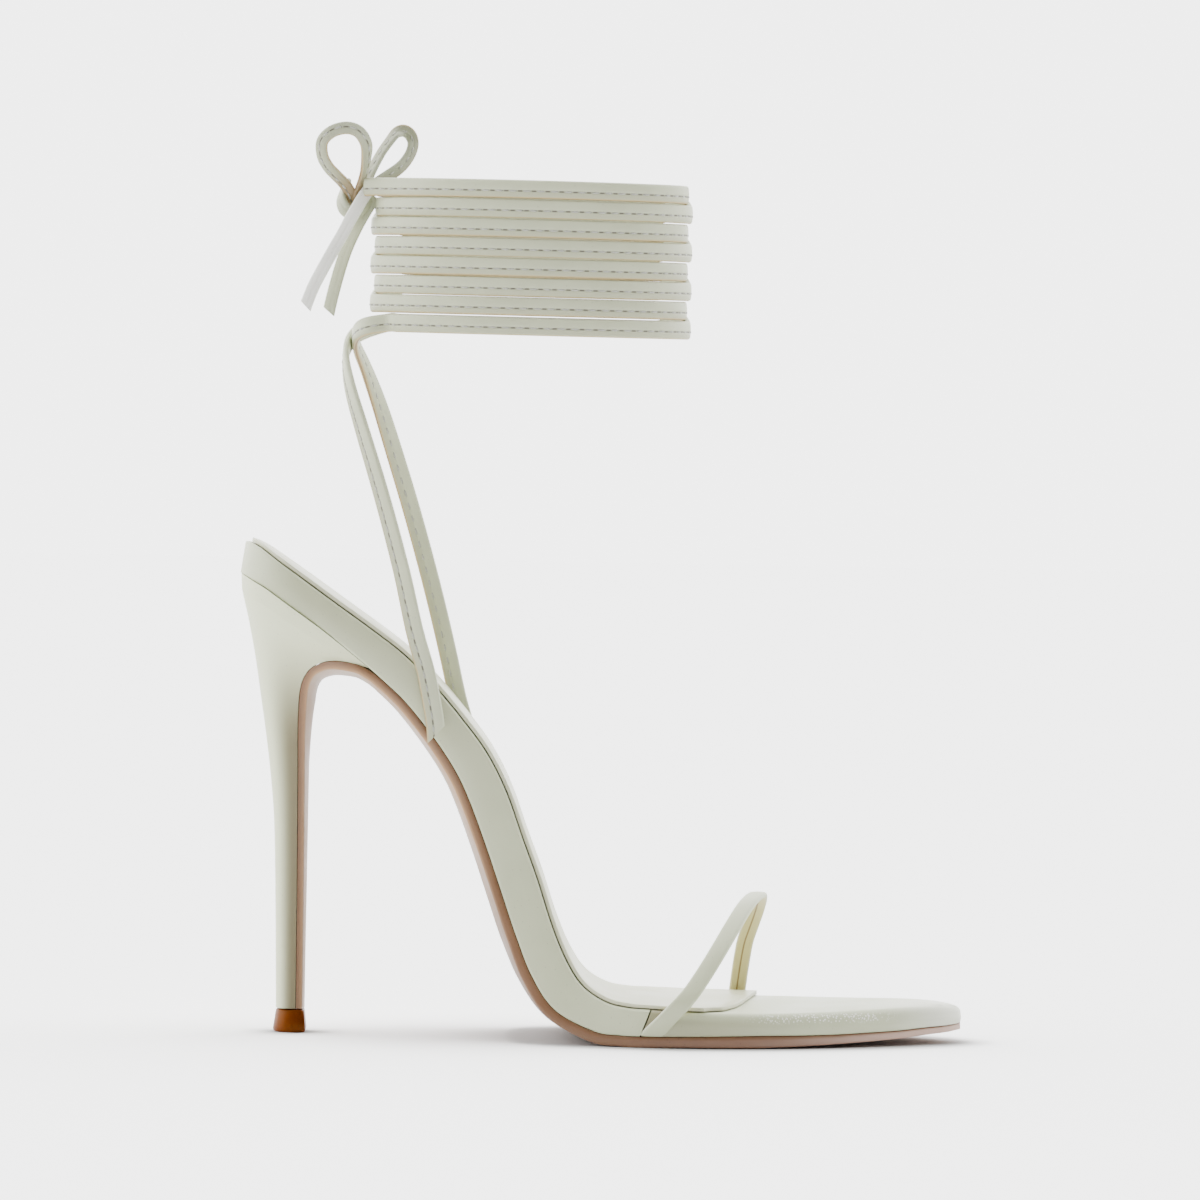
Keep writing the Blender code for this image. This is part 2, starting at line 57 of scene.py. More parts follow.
# Ribs of the covered board, from the back of the seat to the toe: the top and the bottom of its
# edge in side view, and how far it reaches to the outer and to the inner side.
# top_x, top_z, low_x, low_z, outer, inner
BOARD = (
    (-95.9, 130.4, -97.1, 122.4, 2.0, 2.0),
    (-95.3, 130.6, -96.7, 122.2, 7.5, 7.5),
    (-93.8, 130.1, -95.4, 121.6, 12.6, 12.6),
    (-91.0, 128.7, -93.0, 120.2, 17.0, 17.0),
    (-86.6, 125.6, -89.2, 118.1, 20.6, 20.6),
    (-80.0, 121.0, -83.5, 114.1, 23.1, 23.1),
    (-70.5, 114.3, -74.7, 108.0, 24.4, 24.4),
    (-60.5, 107.3, -65.4, 100.8, 24.8, 24.8),
    (-52.6, 101.3, -58.3, 94.8, 24.4, 24.4),
    (-45.2, 94.0, -51.7, 88.6, 23.4, 23.4),
    (-37.3, 84.8, -44.1, 79.2, 22.3, 22.3),
    (-30.6, 75.9, -38.4, 70.6, 21.4, 21.4),
    (-25.3, 65.8, -34.5, 62.4, 21.0, 21.0),
    (-20.8, 53.7, -29.9, 50.4, 21.4, 21.2),
    (-16.6, 42.6, -26.0, 39.4, 22.4, 22.0),
    (-12.8, 31.3, -22.0, 28.2, 24.2, 23.6),
    (-8.9, 22.3, -17.5, 17.5, 26.8, 26.0),
    (-4.4, 15.6, -11.3, 9.0, 29.8, 29.0),
    (1.8, 11.6, -1.0, 3.9, 32.8, 32.0),
    (7.7, 10.3, 5.6, 3.1, 34.8, 34.0),
    (13.6, 10.0, 10.9, 3.0, 36.0, 35.4),
    (22.0, 9.6, 21.8, 3.1, 36.6, 36.4),
    (32.0, 9.4, 32.0, 3.3, 36.0, 36.8),
    (42.0, 9.3, 42.0, 3.5, 34.0, 36.0),
    (52.0, 9.4, 52.0, 3.5, 30.8, 33.8),
    (62.0, 9.6, 62.0, 3.6, 26.4, 30.4),
    (71.5, 9.9, 71.5, 3.9, 21.3, 26.0),
    (79.5, 10.2, 79.6, 4.2, 16.2, 21.3),
    (86.5, 10.3, 86.8, 4.7, 11.0, 16.2),
    (92.0, 10.1, 92.6, 5.0, 6.2, 11.2),
    (95.6, 9.4, 96.3, 5.4, 1.8, 6.6),
    (96.9, 8.4, 97.1, 6.3, -1.0, 3.8),
)
COVER_START = 20.0
COVER_GAP = 0.05
BOARD_STEP = 0.125

# Rounding of the board's low edge, and how far its sides swell
LOW_ROUND = 0.7
SIDE_SWELL = 0.28

# Rounding of the board's top edges and how much its top is crowned, by rib
# rib, radius, crown
EDGE_RADIUS = (
    (0.0, 0.8, 0.0),
    (20.0, 1.0, 0.0),
    (22.8, 1.8, 0.1),
    (25.0, 2.9, 0.5),
    (31.0, 2.6, 0.3),
)

# The front of the heel: where it runs in side view and its half width there
# x, z, half
BREAST = (
    (-61.3, 97.0, 23.7),
    (-64.2, 98.5, 23.2),
    (-67.4, 99.2, 22.0),
    (-71.0, 99.5, 20.0),
    (-74.2, 99.0, 17.8),
    (-77.4, 97.4, 15.2),
    (-79.4, 94.8, 12.9),
    (-80.5, 91.2, 10.9),
    (-80.9, 86.0, 9.2),
    (-81.0, 79.5, 7.9),
    (-80.9, 71.0, 6.7),
    (-80.8, 58.0, 5.6),
    (-80.7, 43.0, 4.9),
    (-80.6, 27.0, 4.5),
    (-80.5, 6.4, 4.4),
)

# The sole starts at its tip, follows the board back to the waist rib and goes down the breast
# x, z, outer, inner
SOLE_TIP = (96.8, 5.45, -1.2, 3.4)
WAIST_RIB = 8
BREAST_RIB_STEP = 1.6
SOLE_INSET = 0.5
SOLE_GAP = 0.12
SOLE_ROUND = 0.7
# Parts of a rib in which a place on the board's low edge is looked for
EDGE_PARTS = 40
# What would hang this little over the floor lies flat on it
TREAD_FLAT = 0.16

# Thickness of the sole's edge and how far its underside swells below it, by rib of the board
# rib, edge, swell
SOLE = (
    (-16.0, 1.8, 0.3),
    (-9.0, 1.9, 0.8),
    (-5.0, 2.2, 1.8),
    (1.0, 2.3, 1.9),
    (8.0, 2.3, 1.6),
    (15.0, 2.5, 2.1),
    (17.0, 2.7, 1.3),
    (18.0, 2.9, 0.4),
    (19.0, 2.8, 0.0),
    (21.0, 2.8, 0.0),
    (23.0, 3.2, 0.0),
    (25.0, 2.5, 0.0),
    (28.0, 1.9, 0.0),
    (31.0, 1.5, 0.0),
)

# Sections of the heel from the seat down: its back, its greatest half width, and the row of the
# breast that its front lies on
# back_x, back_z, half, breast_row
HEEL = (
    (-96.7, 118.2, 22.8, 2.0),
    (-95.9, 114.4, 20.8, 3.0),
    (-94.9, 110.2, 18.4, 4.0),
    (-93.9, 105.3, 15.9, 5.0),
    (-92.9, 100.0, 13.6, 6.0),
    (-92.0, 94.4, 11.6, 7.0),
    (-91.0, 87.8, 10.0, 8.0),
    (-89.8, 80.0, 8.7, 9.0),
    (-88.6, 71.0, 7.4, 10.0),
    (-87.3, 58.0, 6.2, 11.0),
    (-86.7, 43.0, 5.4, 12.0),
    (-86.3, 27.0, 4.9, 13.0),
    (-85.9, 6.4, 4.8, 14.0),
)

# The heel's top section under the seat: its front, half widths at its middle and front, squareness
SEAT_FRONT_X = -62.0
SEAT_HALF = 24.6
SEAT_FRONT_HALF = 23.2
SEAT_SQUARENESS = 2.7

# Where a heel section is widest, from 0 at its back to 1 at its front
WIDEST = 0.66

# The heel tip's rings from the top down, with how far each is drawn in for the rounded rims
# back, front, half, z, draw_in
TIP = (
    (-85.9, -78.3, 4.8, 6.1, 0.3),
    (-85.9, -78.3, 4.8, 5.8, 0.0),
    (-86.6, -77.8, 5.2, 0.9, 0.0),
    (-86.6, -77.8, 5.2, 0.35, 0.12),
    (-86.6, -77.8, 5.2, 0.0, 0.5),
)

# Front edge of the sock, from the outer to the inner side
# x, y
SOCK_FRONT = (
    (27.7, -35.0),
    (32.7, -30.0),
    (36.4, -17.0),
    (38.7, -2.0),
    (40.3, 12.0),
    (42.4, 28.0),
    (43.3, 32.5),
)
SOCK_FIRST_RIB = 1.75
SOCK_ROUND_END = 4.5
SOCK_GAP = 0.3
SOCK_THICK = 1.0
SOCK_ROUND = 0.45
SOCK_INSET = 0.9

# Middle line of the toe strap from the outer to the inner side, its width and thickness, the slant
# of its cut foot, and how much wider it is there and over what share of its length
# x, y, z
TOE_STRAP = (
    (14.3, -35.5, 3.5),
    (16.6, -36.7, 6.2),
    (20.0, -37.7, 9.9),
    (22.3, -37.4, 12.4),
    (24.4, -36.4, 14.9),
    (28.3, -33.0, 20.6),
    (33.0, -27.0, 28.1),
    (37.3, -18.0, 34.8),
    (40.1, -10.0, 37.8),
    (41.9, -2.0, 38.6),
    (42.7, 8.0, 37.6),
    (42.5, 17.0, 34.4),
    (41.2, 24.5, 29.3),
    (39.8, 30.0, 24.0),
    (38.9, 34.6, 17.5),
    (38.2, 37.4, 11.0),
    (37.8, 38.1, 7.0),
    (37.5, 38.1, 3.8),
)
TOE_STRAP_SIZE = (4.6, 1.8)
FOOT_SLANT = -0.85
FOOT_SWELL = 0.22
FOOT_REACH = 0.055

# The ties from the arch to the cuff: middle line, and the bearing in degrees that the outer
# face looks to, 90 inwards, 180 backwards and 270 or -90 to the outer side
# x, y, z, bearing
OUTER_RISER = (
    (-43.9, -24.3, 80.6, -90.0),
    (-44.3, -24.7, 84.5, -91.0),
    (-45.5, -25.0, 91.0, -93.0),
    (-46.9, -25.1, 97.6, -97.0),
    (-50.0, -25.2, 108.0, -106.0),
    (-53.7, -25.0, 123.7, -118.0),
    (-59.3, -23.0, 143.3, -126.0),
    (-65.0, -19.0, 161.0, -138.0),
    (-68.3, -14.5, 171.4, -152.0),
    (-69.9, -7.5, 179.0, -170.0),
    (-69.4, 1.5, 183.9, -190.0),
    (-66.4, 9.0, 187.2, -206.0),
)
INNER_RISER = (
    (-37.2, 23.8, 80.0, 90.0),
    (-37.8, 24.1, 84.0, 90.0),
    (-39.5, 24.6, 90.0, 91.0),
    (-42.6, 24.8, 103.3, 93.0),
    (-46.9, 24.4, 120.0, 96.0),
    (-52.2, 23.4, 138.5, 100.0),
    (-57.6, 20.8, 155.7, 112.0),
    (-61.6, 16.5, 168.0, 130.0),
    (-65.1, 10.0, 177.4, 155.0),
    (-67.5, 2.5, 183.2, 178.0),
    (-67.4, -4.5, 186.2, 196.0),
    (-64.6, -10.5, 188.0, 212.0),
)

# The cuff: a leaning ellipse that both ties follow, by half turns
CUFF_CENTRE_X = -21.2
CUFF_HALF_LENGTH = 41.4
CUFF_HALF_WIDTH = 27.2
CUFF_BOTTOM_ROW = 188.2
CUFF_PITCH = 5.13
CUFF_HALF_TURNS = 8
CUFF_TILT = 0.5
CUFF_LEAN = 1.9
HALF_TURN_STEPS = 28
# A tie leaves its riser and ends a few steps off the full turns
CUFF_FIRST_STEP = 4
INNER_SPARE_STEPS = 5
OUTER_SPARE_STEPS = -4

# Where the ties cross at the ends of the cuff: how far one goes outside the other, over how many
# degrees it changes rows, how far behind the end it does so, and how far the crossing reaches
CROSS_STEP = 0.92
CROSS_SPREAD = 17.0
CROSS_SHIFT = 18.0
CROSS_REACH = 42.0

# Slants of the ties' cut lower ends, as rise over width, and the length in which a slant dies out
TIE_SLANT = 0.9
END_SLANT = 0.55
SLANT_REACH = 7.0

# Where the top row of the outer tie goes past the end of the cuff, over the knot
# x, y, z, bearing
OUTER_TIE_END = (
    (-60.3, -10.2, 225.0, 224.0),
    (-62.2, -8.6, 225.1, 230.0),
    (-64.0, -7.1, 225.1, 231.0),
    (-65.4, -5.8, 225.1, 226.0),
)

# The bow: middle lines of its loops, its ends and the turn that holds them
# x, y, z, bearing
LOOP_NEAR = (
    (-68.9, -2.4, 221.6, 262.0),
    (-70.2, -3.9, 224.6, 252.0),
    (-71.7, -5.9, 226.5, 248.0),
    (-73.4, -8.2, 228.1, 246.0),
    (-75.4, -10.6, 230.2, 244.0),
    (-76.8, -12.4, 233.0, 246.0),
    (-76.8, -13.6, 236.6, 250.0),
    (-74.2, -14.4, 239.2, 256.0),
    (-70.4, -14.4, 240.2, 258.0),
    (-67.2, -13.4, 239.2, 262.0),
    (-65.3, -11.6, 236.2, 290.0),
    (-65.3, -9.2, 232.6, 312.0),
    (-65.9, -6.4, 229.0, 324.0),
    (-67.0, -3.8, 225.4, 324.0),
    (-67.9, -2.4, 222.2, 318.0),
)
LOOP_FAR = (
    (-67.4, 1.2, 222.6, 84.0),
    (-66.6, 3.2, 225.8, 72.0),
    (-65.1, 5.6, 228.8, 62.0),
    (-63.7, 8.0, 231.8, 54.0),
    (-61.9, 10.6, 235.4, 50.0),
    (-59.8, 12.9, 238.7, 52.0),
    (-58.2, 14.6, 240.8, 62.0),
    (-56.3, 16.0, 241.6, 82.0),
    (-54.6, 16.8, 240.7, 104.0),
    (-53.7, 16.7, 238.5, 120.0),
    (-54.1, 15.6, 235.9, 128.0),
    (-55.5, 13.7, 233.2, 132.0),
    (-57.4, 11.4, 231.0, 134.0),
    (-60.2, 8.8, 228.8, 130.0),
    (-62.8, 6.2, 226.8, 124.0),
    (-65.0, 3.6, 224.8, 118.0),
)
END_1 = (
    (-64.6, -4.2, 224.6, 280.0),
    (-65.8, -5.4, 222.8, 276.0),
    (-67.2, -6.4, 220.3, 270.0),
    (-69.2, -7.2, 216.6, 264.0),
    (-71.3, -8.0, 212.4, 262.0),
    (-73.8, -9.2, 207.8, 262.0),
    (-76.2, -10.2, 203.2, 262.0),
    (-78.5, -10.8, 198.6, 262.0),
    (-80.0, -11.2, 194.8, 262.0),
    (-80.6, -11.3, 193.0, 262.0),
)
END_2 = (
    (-63.2, -2.0, 222.8, 262.0),
    (-64.8, -2.4, 220.0, 256.0),
    (-66.7, -2.6, 216.6, 250.0),
    (-68.4, -2.6, 213.2, 250.0),
    (-70.0, -2.5, 209.6, 254.0),
    (-71.4, -2.5, 205.6, 257.0),
    (-72.7, -2.5, 201.0, 260.0),
    (-73.9, -2.5, 196.2, 260.0),
    (-74.8, -2.5, 192.0, 260.0),
)
KNOT_TURN = (
    (-70.4, 1.8, 226.4, 200.0),
    (-71.6, -0.6, 224.6, 205.0),
    (-72.0, -3.0, 221.8, 225.0),
    (-70.9, -4.6, 219.2, 250.0),
    (-68.9, -5.0, 218.2, 262.0),
    (-66.9, -4.6, 219.4, 275.0),
    (-65.4, -3.4, 221.8, 290.0),
    (-64.8, -1.6, 224.4, 310.0),
)

# The tie's inner turns in the middle of the knot, which lie in the shade of the loops and are
# painted its dark olive
# x, y, z, radius_x, radius_y, radius_z
KNOT_CORE = (-68.0, -0.9, 221.6, 2.5, 1.9, 2.7)

# The bow's ties are pressed thinner than the cuff's, their turn round the knot is a little wider,
# and their stitches run off the middle
BOW_PRESS = 0.85
KNOT_SPREAD = 1.05
BOW_ROW = 0.3

# How many points a strap has to each row of its table
TIE_STEPS = 4
BOW_STEPS = 6
TOE_STRAP_STEPS = 10
# The crown of a strap's faces, the groove of its seam and how far its threads are sunk in
STRAP_CROWN = 0.12
SEAM_DEPTH = 0.12
SEAM_HALF = 0.25
TIE_SINK = 0.1
BOW_SINK = 0.08

# The camera stands level with the seat and looks a little down, in metres and degrees
CAMERA_PLACE = (-0.0073, -1.700, 0.135)
CAMERA_AIM = (-0.0013, 0.0, 0.11648)
CAMERA_ROLL = 1.0
CAMERA_LENS = 191.25
CAMERA_SENSOR = 36.0
FLOOR_RADIUS = 25.0
# The share of its brightness that the floor keeps where its painted shadow under the sandal is
# darkest
DARKEST_FLOOR = 0.32

# Places round a section, from 0 to 1, that the materials measure from: the middle of the board's
# underside, of the sock's top and of the toe strap's inner face, and the middle of the sole's
# underside or the front of the heel
BOARD_UNDERSIDE = 0.4756
SOCK_TOP = 0.47
STRAP_INNER_FACE = 0.75
SECTION_MIDDLE = 0.5
# How far the painted shade in the fold behind the toe strap leans, as run over rise, and how wide
# the sole's wall blends
FOLD_LEAN = 0.95
SOLE_WALL = 0.07

# Ranges over which the materials paint shade and light and change colour. Each one starts, is
# full, begins to fade and ends, or just starts and is full. X, Y and Z are metres on the sandal,
# and the others are shares of the way round a section.
RAND_SHADE_ROUND = (0.08, 0.18, 0.24, 0.30)
RAND_SHADE_X = (-0.090, -0.078, -0.040, -0.020)
FOLD_X = (0.0095, 0.0075)
FOLD_Y = (-0.030, -0.034)
COVER_SIDE_X = (0.062, 0.026)
COVER_SIDE_Z = (0.0088, 0.0066)
TOE_LIGHT_X = (0.074, 0.094)
GLINT_Z = (0.0062, 0.0076, 0.0086, 0.0094)
GLINT_X = (0.036, 0.050, 0.070, 0.082)
SOCK_EDGE_ROUND = (0.435, 0.468)
HEEL_FRONT_ROUND = (0.33, 0.08)
HEEL_LOW_Z = (0.110, 0.075)
TIE_SHADE_ROUND = (0.20, 0.42)
TIE_CUT_ROUND = (0.395, 0.440)
TIE_BROWN_ROUND = (0.445, 0.480)
KNOT_SHADE_Z = (0.2300, 0.2240)
STRAP_INSIDE_ROUND = (0.55, 0.60, 0.90, 0.95)
STRAP_SEAM_ROUND = (0.022, 0.006)
STRAP_HIGHLIGHT_ROUND = (0.045, 0.01)
SOLE_TOE_X = (0.035, 0.092)
SOLE_EDGE_ROUND = (0.42, 0.475)
SOLE_TURN_X = (-0.058, -0.074)
SOLE_TURN_ROUND = (0.10, 0.29)
SOLE_REAR_EDGE_ROUND = (0.33, 0.45)
SOLE_SHADE_Z = (0.060, 0.014)
SOLE_SHADE_X = (-0.060, -0.045)
SOLE_BEND_X = (0.022, 0.002)
SOLE_REAR_X = (-0.016, -0.040)
# Shares of a stitch's pitch and of the way round that a needle hole and its groove take up
HOLE_BEAT = (0.28, 0.40)
GROOVE_ROUND = (0.036, 0.012)

# How strongly each of them is laid on, from 0 to 1
RAND_SHADE = 0.20
FOLD_SHADE = 0.75
COVER_SIDE_SHADE = 0.42
TOE_LIGHT = 0.5
SOCK_EDGE_SHADE = 0.6
HEEL_FRONT_SHADE = 0.95
HEEL_LOW_SHADE = 0.05
TIE_SHADE = 0.32
KNOT_SHADE = 0.9
GROOVE_SHADE = 0.42
STRAP_HIGHLIGHT = 0.6
SOLE_SHADE = 0.8
SOLE_BEND_DYE = 0.75

# The share of the ties' colour that the bow's parts keep: painted shade, darker copies of the tie
# leather
NEAR_LOOP_SHADE = 0.78
FAR_LOOP_SHADE = 0.66
END_2_SHADE = 0.82


def smooth_row(rows, place):
    """The row at a fractional place in a table, on a smooth curve through its rows."""
    last = len(rows) - 1
    place = min(max(place, 0.0), float(last))
    low = min(int(place), last - 1)
    part = place - low
    before = rows[max(low - 1, 0)]
    start = rows[low]
    end = rows[low + 1]
    after = rows[min(low + 2, last)]
    row = []
    for a, b, c, d in zip(before, start, end, after):
        lift = part * (2.0 * a - 5.0 * b + 4.0 * c - d + part * (3.0 * b - a - 3.0 * c + d))
        row.append(b + 0.5 * part * (c - a + lift))
    return row


def straight_row(rows, key):
    """The values beside a key in a table, in straight steps between its rows."""
    if key <= rows[0][0]:
        return rows[0][1:]
    for low, high in zip(rows, rows[1:]):
        if key <= high[0]:
            part = (key - low[0]) / (high[0] - low[0])
            return [a + (b - a) * part for a, b in zip(low[1:], high[1:])]
    return rows[-1][1:]


def places(first, last, step):
    """Even steps from first to last, with both of them in."""
    count = max(1, round((last - first) / step))
    return [first + (last - first) * i / count for i in range(count + 1)]


def run_lengths(points):
    """How far along a line of points in millimetres each one lies, in metres."""
    lengths = [0.0]
    for start, end in zip(points, points[1:]):
        lengths.append(lengths[-1] + (Vector(end) - Vector(start)).length * MM)
    return lengths


def quarter_round(count):
    """Steps round a quarter circle, each as 1 less its sine and 1 less its cosine."""
    turns = [math.pi / 2.0 * step / (count - 1.0) for step in range(count)]
    return [(1.0 - math.sin(turn), 1.0 - math.cos(turn)) for turn in turns]


def skin(rings, lengths=None):
    """A closed skin through rings of points in millimetres, from a grid wrapped round them.

    Its UV map runs from 0 to 1 round each ring, and in metres along them where lengths are given.
    """
    around = len(rings[0])
    along = len(rings) - 1
    if lengths is None:
        lengths = run_lengths([ring[0] for ring in rings])
    work = bmesh.new()
    uv = work.loops.layers.uv.new("UVMap")
    bmesh.ops.create_grid(work, x_segments=around, y_segments=along, size=0.5, calc_uvs=True)
    for face in work.faces:
        for loop in face.loops:
            loop[uv].uv.y = lengths[round(loop[uv].uv.y * along)]
    for vert in work.verts:
        column = round((vert.co.x + 0.5) * around) % around
        vert.co = Vector(rings[round((vert.co.y + 0.5) * along)][column]) * MM
    bmesh.ops.remove_doubles(work, verts=work.verts, dist=1e-7)
    rims = [edge for edge in work.edges if edge.is_boundary]
    bmesh.ops.holes_fill(work, edges=rims, sides=0)
    return work


def put(name, work, finish, nodes=(), slot=None, sharp=50.0):
    """Turn a bmesh into a shaded piece that rides on the sandal and stands for CAD nodes."""
    bmesh.ops.recalc_face_normals(work, faces=work.faces)
    mesh = bpy.data.meshes.new(name)
    work.to_mesh(mesh)
    work.free()
    mesh.shade_smooth()
    mesh.set_sharp_from_angle(angle=math.radians(sharp))
    mesh.materials.append(finish)
    made = bpy.data.objects.new(name, mesh)
    bpy.context.scene.collection.objects.link(made)
    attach(made, "root")
    if nodes:
        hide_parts(*nodes)
    return made


def add_node(tree, kind, inputs=None, **settings):
    """A shader node with its settings and the values of its inputs."""
    made = tree.nodes.new(kind)
    for name, value in settings.items():
        setattr(made, name, value)
    for key, value in (inputs or {}).items():
        if isinstance(value, bpy.types.NodeSocket):
            tree.links.new(value, made.inputs[key])
        else:
            made.inputs[key].default_value = value
    return made


def maths(tree, operation, first, second=0.0, third=0.0):
    """The output of a Math node."""
    made = add_node(tree, "ShaderNodeMath", {0: first, 1: second, 2: third}, operation=operation)
    return made.outputs[0]


def blend(tree, mask, first, second, **settings):
    """A colour that goes from the first to the second by a mask."""
    made = add_node(tree, "ShaderNodeMix", data_type="RGBA", **settings)
    for key, value in ((0, mask), (6, first), (7, second)):
        if isinstance(value, bpy.types.NodeSocket):
            tree.links.new(value, made.inputs[key])
        elif key:
            made.inputs[key].default_value = (*value, 1.0)
        else:
            made.inputs[key].default_value = value
    return made.outputs[2]


def times(tree, first, second):
    """Two values multiplied."""
    return maths(tree, "MULTIPLY", first, second)


def away(tree, value, middle):
    """How far a value is from a middle one."""
    return maths(tree, "ABSOLUTE", maths(tree, "SUBTRACT", value, middle))


def span(tree, value, low, high, start=0.0, end=1.0):
    """A value taken smoothly from one range to another."""
    inputs = {"Value": value, "From Min": low, "From Max": high, "To Min": start, "To Max": end}
    made = add_node(tree, "ShaderNodeMapRange", inputs, interpolation_type="SMOOTHSTEP")
    return made.outputs["Result"]


def window(tree, value, start, full, fade, end):
    """A mask that rises from start to full and dies out from fade to end."""
    return times(tree, span(tree, value, start, full), span(tree, value, end, fade))


def dimmed(colour, share):
    """A colour made darker."""
    return tuple(c * share for c in colour)


def new_group(name, inputs, outputs):
    """A shader node group with float sockets, and its input and output nodes."""
    group = bpy.data.node_groups.new(name, "ShaderNodeTree")
    for label, value in inputs:
        socket = group.interface.new_socket(label, in_out="INPUT", socket_type="NodeSocketFloat")
        socket.default_value = value
    for label in outputs:
        group.interface.new_socket(label, in_out="OUTPUT", socket_type="NodeSocketFloat")
    return group, group.nodes.new("NodeGroupInput"), group.nodes.new("NodeGroupOutput")


def grain_group():
    """Leather grain: fine pores and creases as a height, and a slow cloudiness as a mask."""
    name = "leather_grain"
    if name in bpy.data.node_groups:
        return bpy.data.node_groups[name]
    group, given, out = new_group(name, (("Pores", 1900.0), ("Clouds", 90.0)), ("Height", "Cloud"))
    where = add_node(group, "ShaderNodeTexCoord").outputs["Object"]
    pores = {"Vector": where, "Scale": given.outputs["Pores"], "Randomness": 0.9}
    cells = add_node(group, "ShaderNodeTexVoronoi", pores, feature="SMOOTH_F1")
    fine = {"Vector": where, "Scale": given.outputs["Pores"], "Detail": 3.0, "Roughness": 0.6}
    crease = add_node(group, "ShaderNodeTexNoise", fine)
    height = maths(group, "MULTIPLY_ADD", cells.outputs["Distance"], 0.6, crease.outputs["Fac"])
    slow = {"Vector": where, "Scale": given.outputs["Clouds"], "Detail": 4.0, "Roughness": 0.55}
    cloud = add_node(group, "ShaderNodeTexNoise", slow)
    group.links.new(height, out.inputs["Height"])
    group.links.new(span(group, cloud.outputs["Fac"], 0.32, 0.68), out.inputs["Cloud"])
    return group


def fleck_group():
    """Small flecks scattered over a surface, as a mask."""
    name = "flecks"
    if name in bpy.data.node_groups:
        return bpy.data.node_groups[name]
    group, given, out = new_group(name, (("Scale", 420.0), ("Size", 0.12)), ("Fleck",))
    where = add_node(group, "ShaderNodeTexCoord").outputs["Object"]
    spots = {"Vector": where, "Scale": given.outputs["Scale"], "Randomness": 1.0}
    cells = add_node(group, "ShaderNodeTexVoronoi", spots, feature="F1")
    near = maths(group, "LESS_THAN", cells.outputs["Distance"], given.outputs["Size"])
    group.links.new(near, out.inputs["Fleck"])
    return group


def seam_group():
    """A row of needle holes along a strap, as masks for painted shade in the holes and their
    groove: its UV map runs round it and along it in metres.
    """
    name = "needle_holes"
    if name in bpy.data.node_groups:
        return bpy.data.node_groups[name]
    group, given, out = new_group(name, (("Row", 0.25), ("Pitch", 0.0036)), ("Hole", "Groove"))
    around, along = uv_parts(group)
    groove = span(group, away(group, around, given.outputs["Row"]), *GROOVE_ROUND)
    beat = maths(group, "FRACT", maths(group, "DIVIDE", along, given.outputs["Pitch"]))
    hole = times(group, groove, span(group, away(group, beat, 0.5), *HOLE_BEAT))
    group.links.new(hole, out.inputs["Hole"])
    group.links.new(groove, out.inputs["Groove"])
    return group


def use_group(tree, group, **values):
    """A node group placed in a material with its own values."""
    made = tree.nodes.new("ShaderNodeGroup")
    made.node_tree = group
    for key, value in values.items():
        made.inputs[key].default_value = value
    return made


def new_material(name, roughness=0.45, coat=0.0, sheen=0.0, specular=0.5):
    """A material with its shader's constants set, its tree and its shader."""
    made = bpy.data.materials.new(name)
    made.use_nodes = True
    shader = made.node_tree.nodes["Principled BSDF"]
    shader.inputs["Roughness"].default_value = roughness
    shader.inputs["Metallic"].default_value = 0.0
    shader.inputs["Coat Weight"].default_value = coat
    shader.inputs["Coat Roughness"].default_value = 0.32
    shader.inputs["Sheen Weight"].default_value = sheen
    shader.inputs["Specular IOR Level"].default_value = specular
    return made, made.node_tree, shader


def leather(name, colour, tint, pores=1900.0, coat=0.12, specular=0.5, smooth=0.36, dull=0.50):
    """A grained leather: its material, its tree and the socket of its own cloudy colour."""
    made, tree, shader = new_material(name, coat=coat, specular=specular)
    grain = use_group(tree, grain_group(), Pores=pores, Clouds=70.0)
    cloud = grain.outputs["Cloud"]
    body = blend(tree, cloud, dimmed(colour, tint), colour)
    fleck = use_group(tree, fleck_group(), Scale=520.0, Size=0.10)
    body = blend(tree, fleck.outputs["Fleck"], body, dimmed(colour, 0.84))
    tree.links.new(span(tree, cloud, 0.0, 1.0, smooth, dull), shader.inputs["Roughness"])
    bump = {"Height": grain.outputs["Height"], "Strength": 0.35, "Distance": 0.00004}
    bump = add_node(tree, "ShaderNodeBump", bump)
    tree.links.new(bump.outputs["Normal"], shader.inputs["Normal"])
    return made, tree, body


def dyed(made, body):
    """A material whose shader takes its own colour from a socket."""
    tree = made.node_tree
    tree.links.new(body, tree.nodes["Principled BSDF"].inputs["Base Color"])
    return made


def uv_parts(tree):
    """Round and along, the two parts of a skin's UV map."""
    where = add_node(tree, "ShaderNodeTexCoord").outputs["UV"]
    parts = add_node(tree, "ShaderNodeSeparateXYZ", {"Vector": where})
    return parts.outputs["X"], parts.outputs["Y"]


def place_parts(tree):
    """The x, y and z of a place on the sandal, in metres."""
    where = add_node(tree, "ShaderNodeTexCoord").outputs["Object"]
    parts = add_node(tree, "ShaderNodeSeparateXYZ", {"Vector": where})
    return parts.outputs["X"], parts.outputs["Y"], parts.outputs["Z"]


def end_leather(name, colour):
    """Smooth leather of the bow's ends and of the inside of its knot."""
    made, _, body = leather(name, colour, 0.965, 2100.0)
    return dyed(made, body)


def rand_leather(looks):
    """Pale leather of the rand, with olive painted shade in a band under its top edge."""
    made, tree, body = leather("rand_leather", looks.cream_colour, 0.95)
    # Painted shade: over the seat and waist the rand's wall is darkened olive in a band under its
    # top edge, where the sock's edge shades it.
    under = window(tree, away(tree, uv_parts(tree)[0], BOARD_UNDERSIDE), *RAND_SHADE_ROUND)
    seat = window(tree, place_parts(tree)[0], *RAND_SHADE_X)
    shade_mask = times(tree, times(tree, under, seat), RAND_SHADE)
    return dyed(made, blend(tree, shade_mask, body, looks.shade_colour))


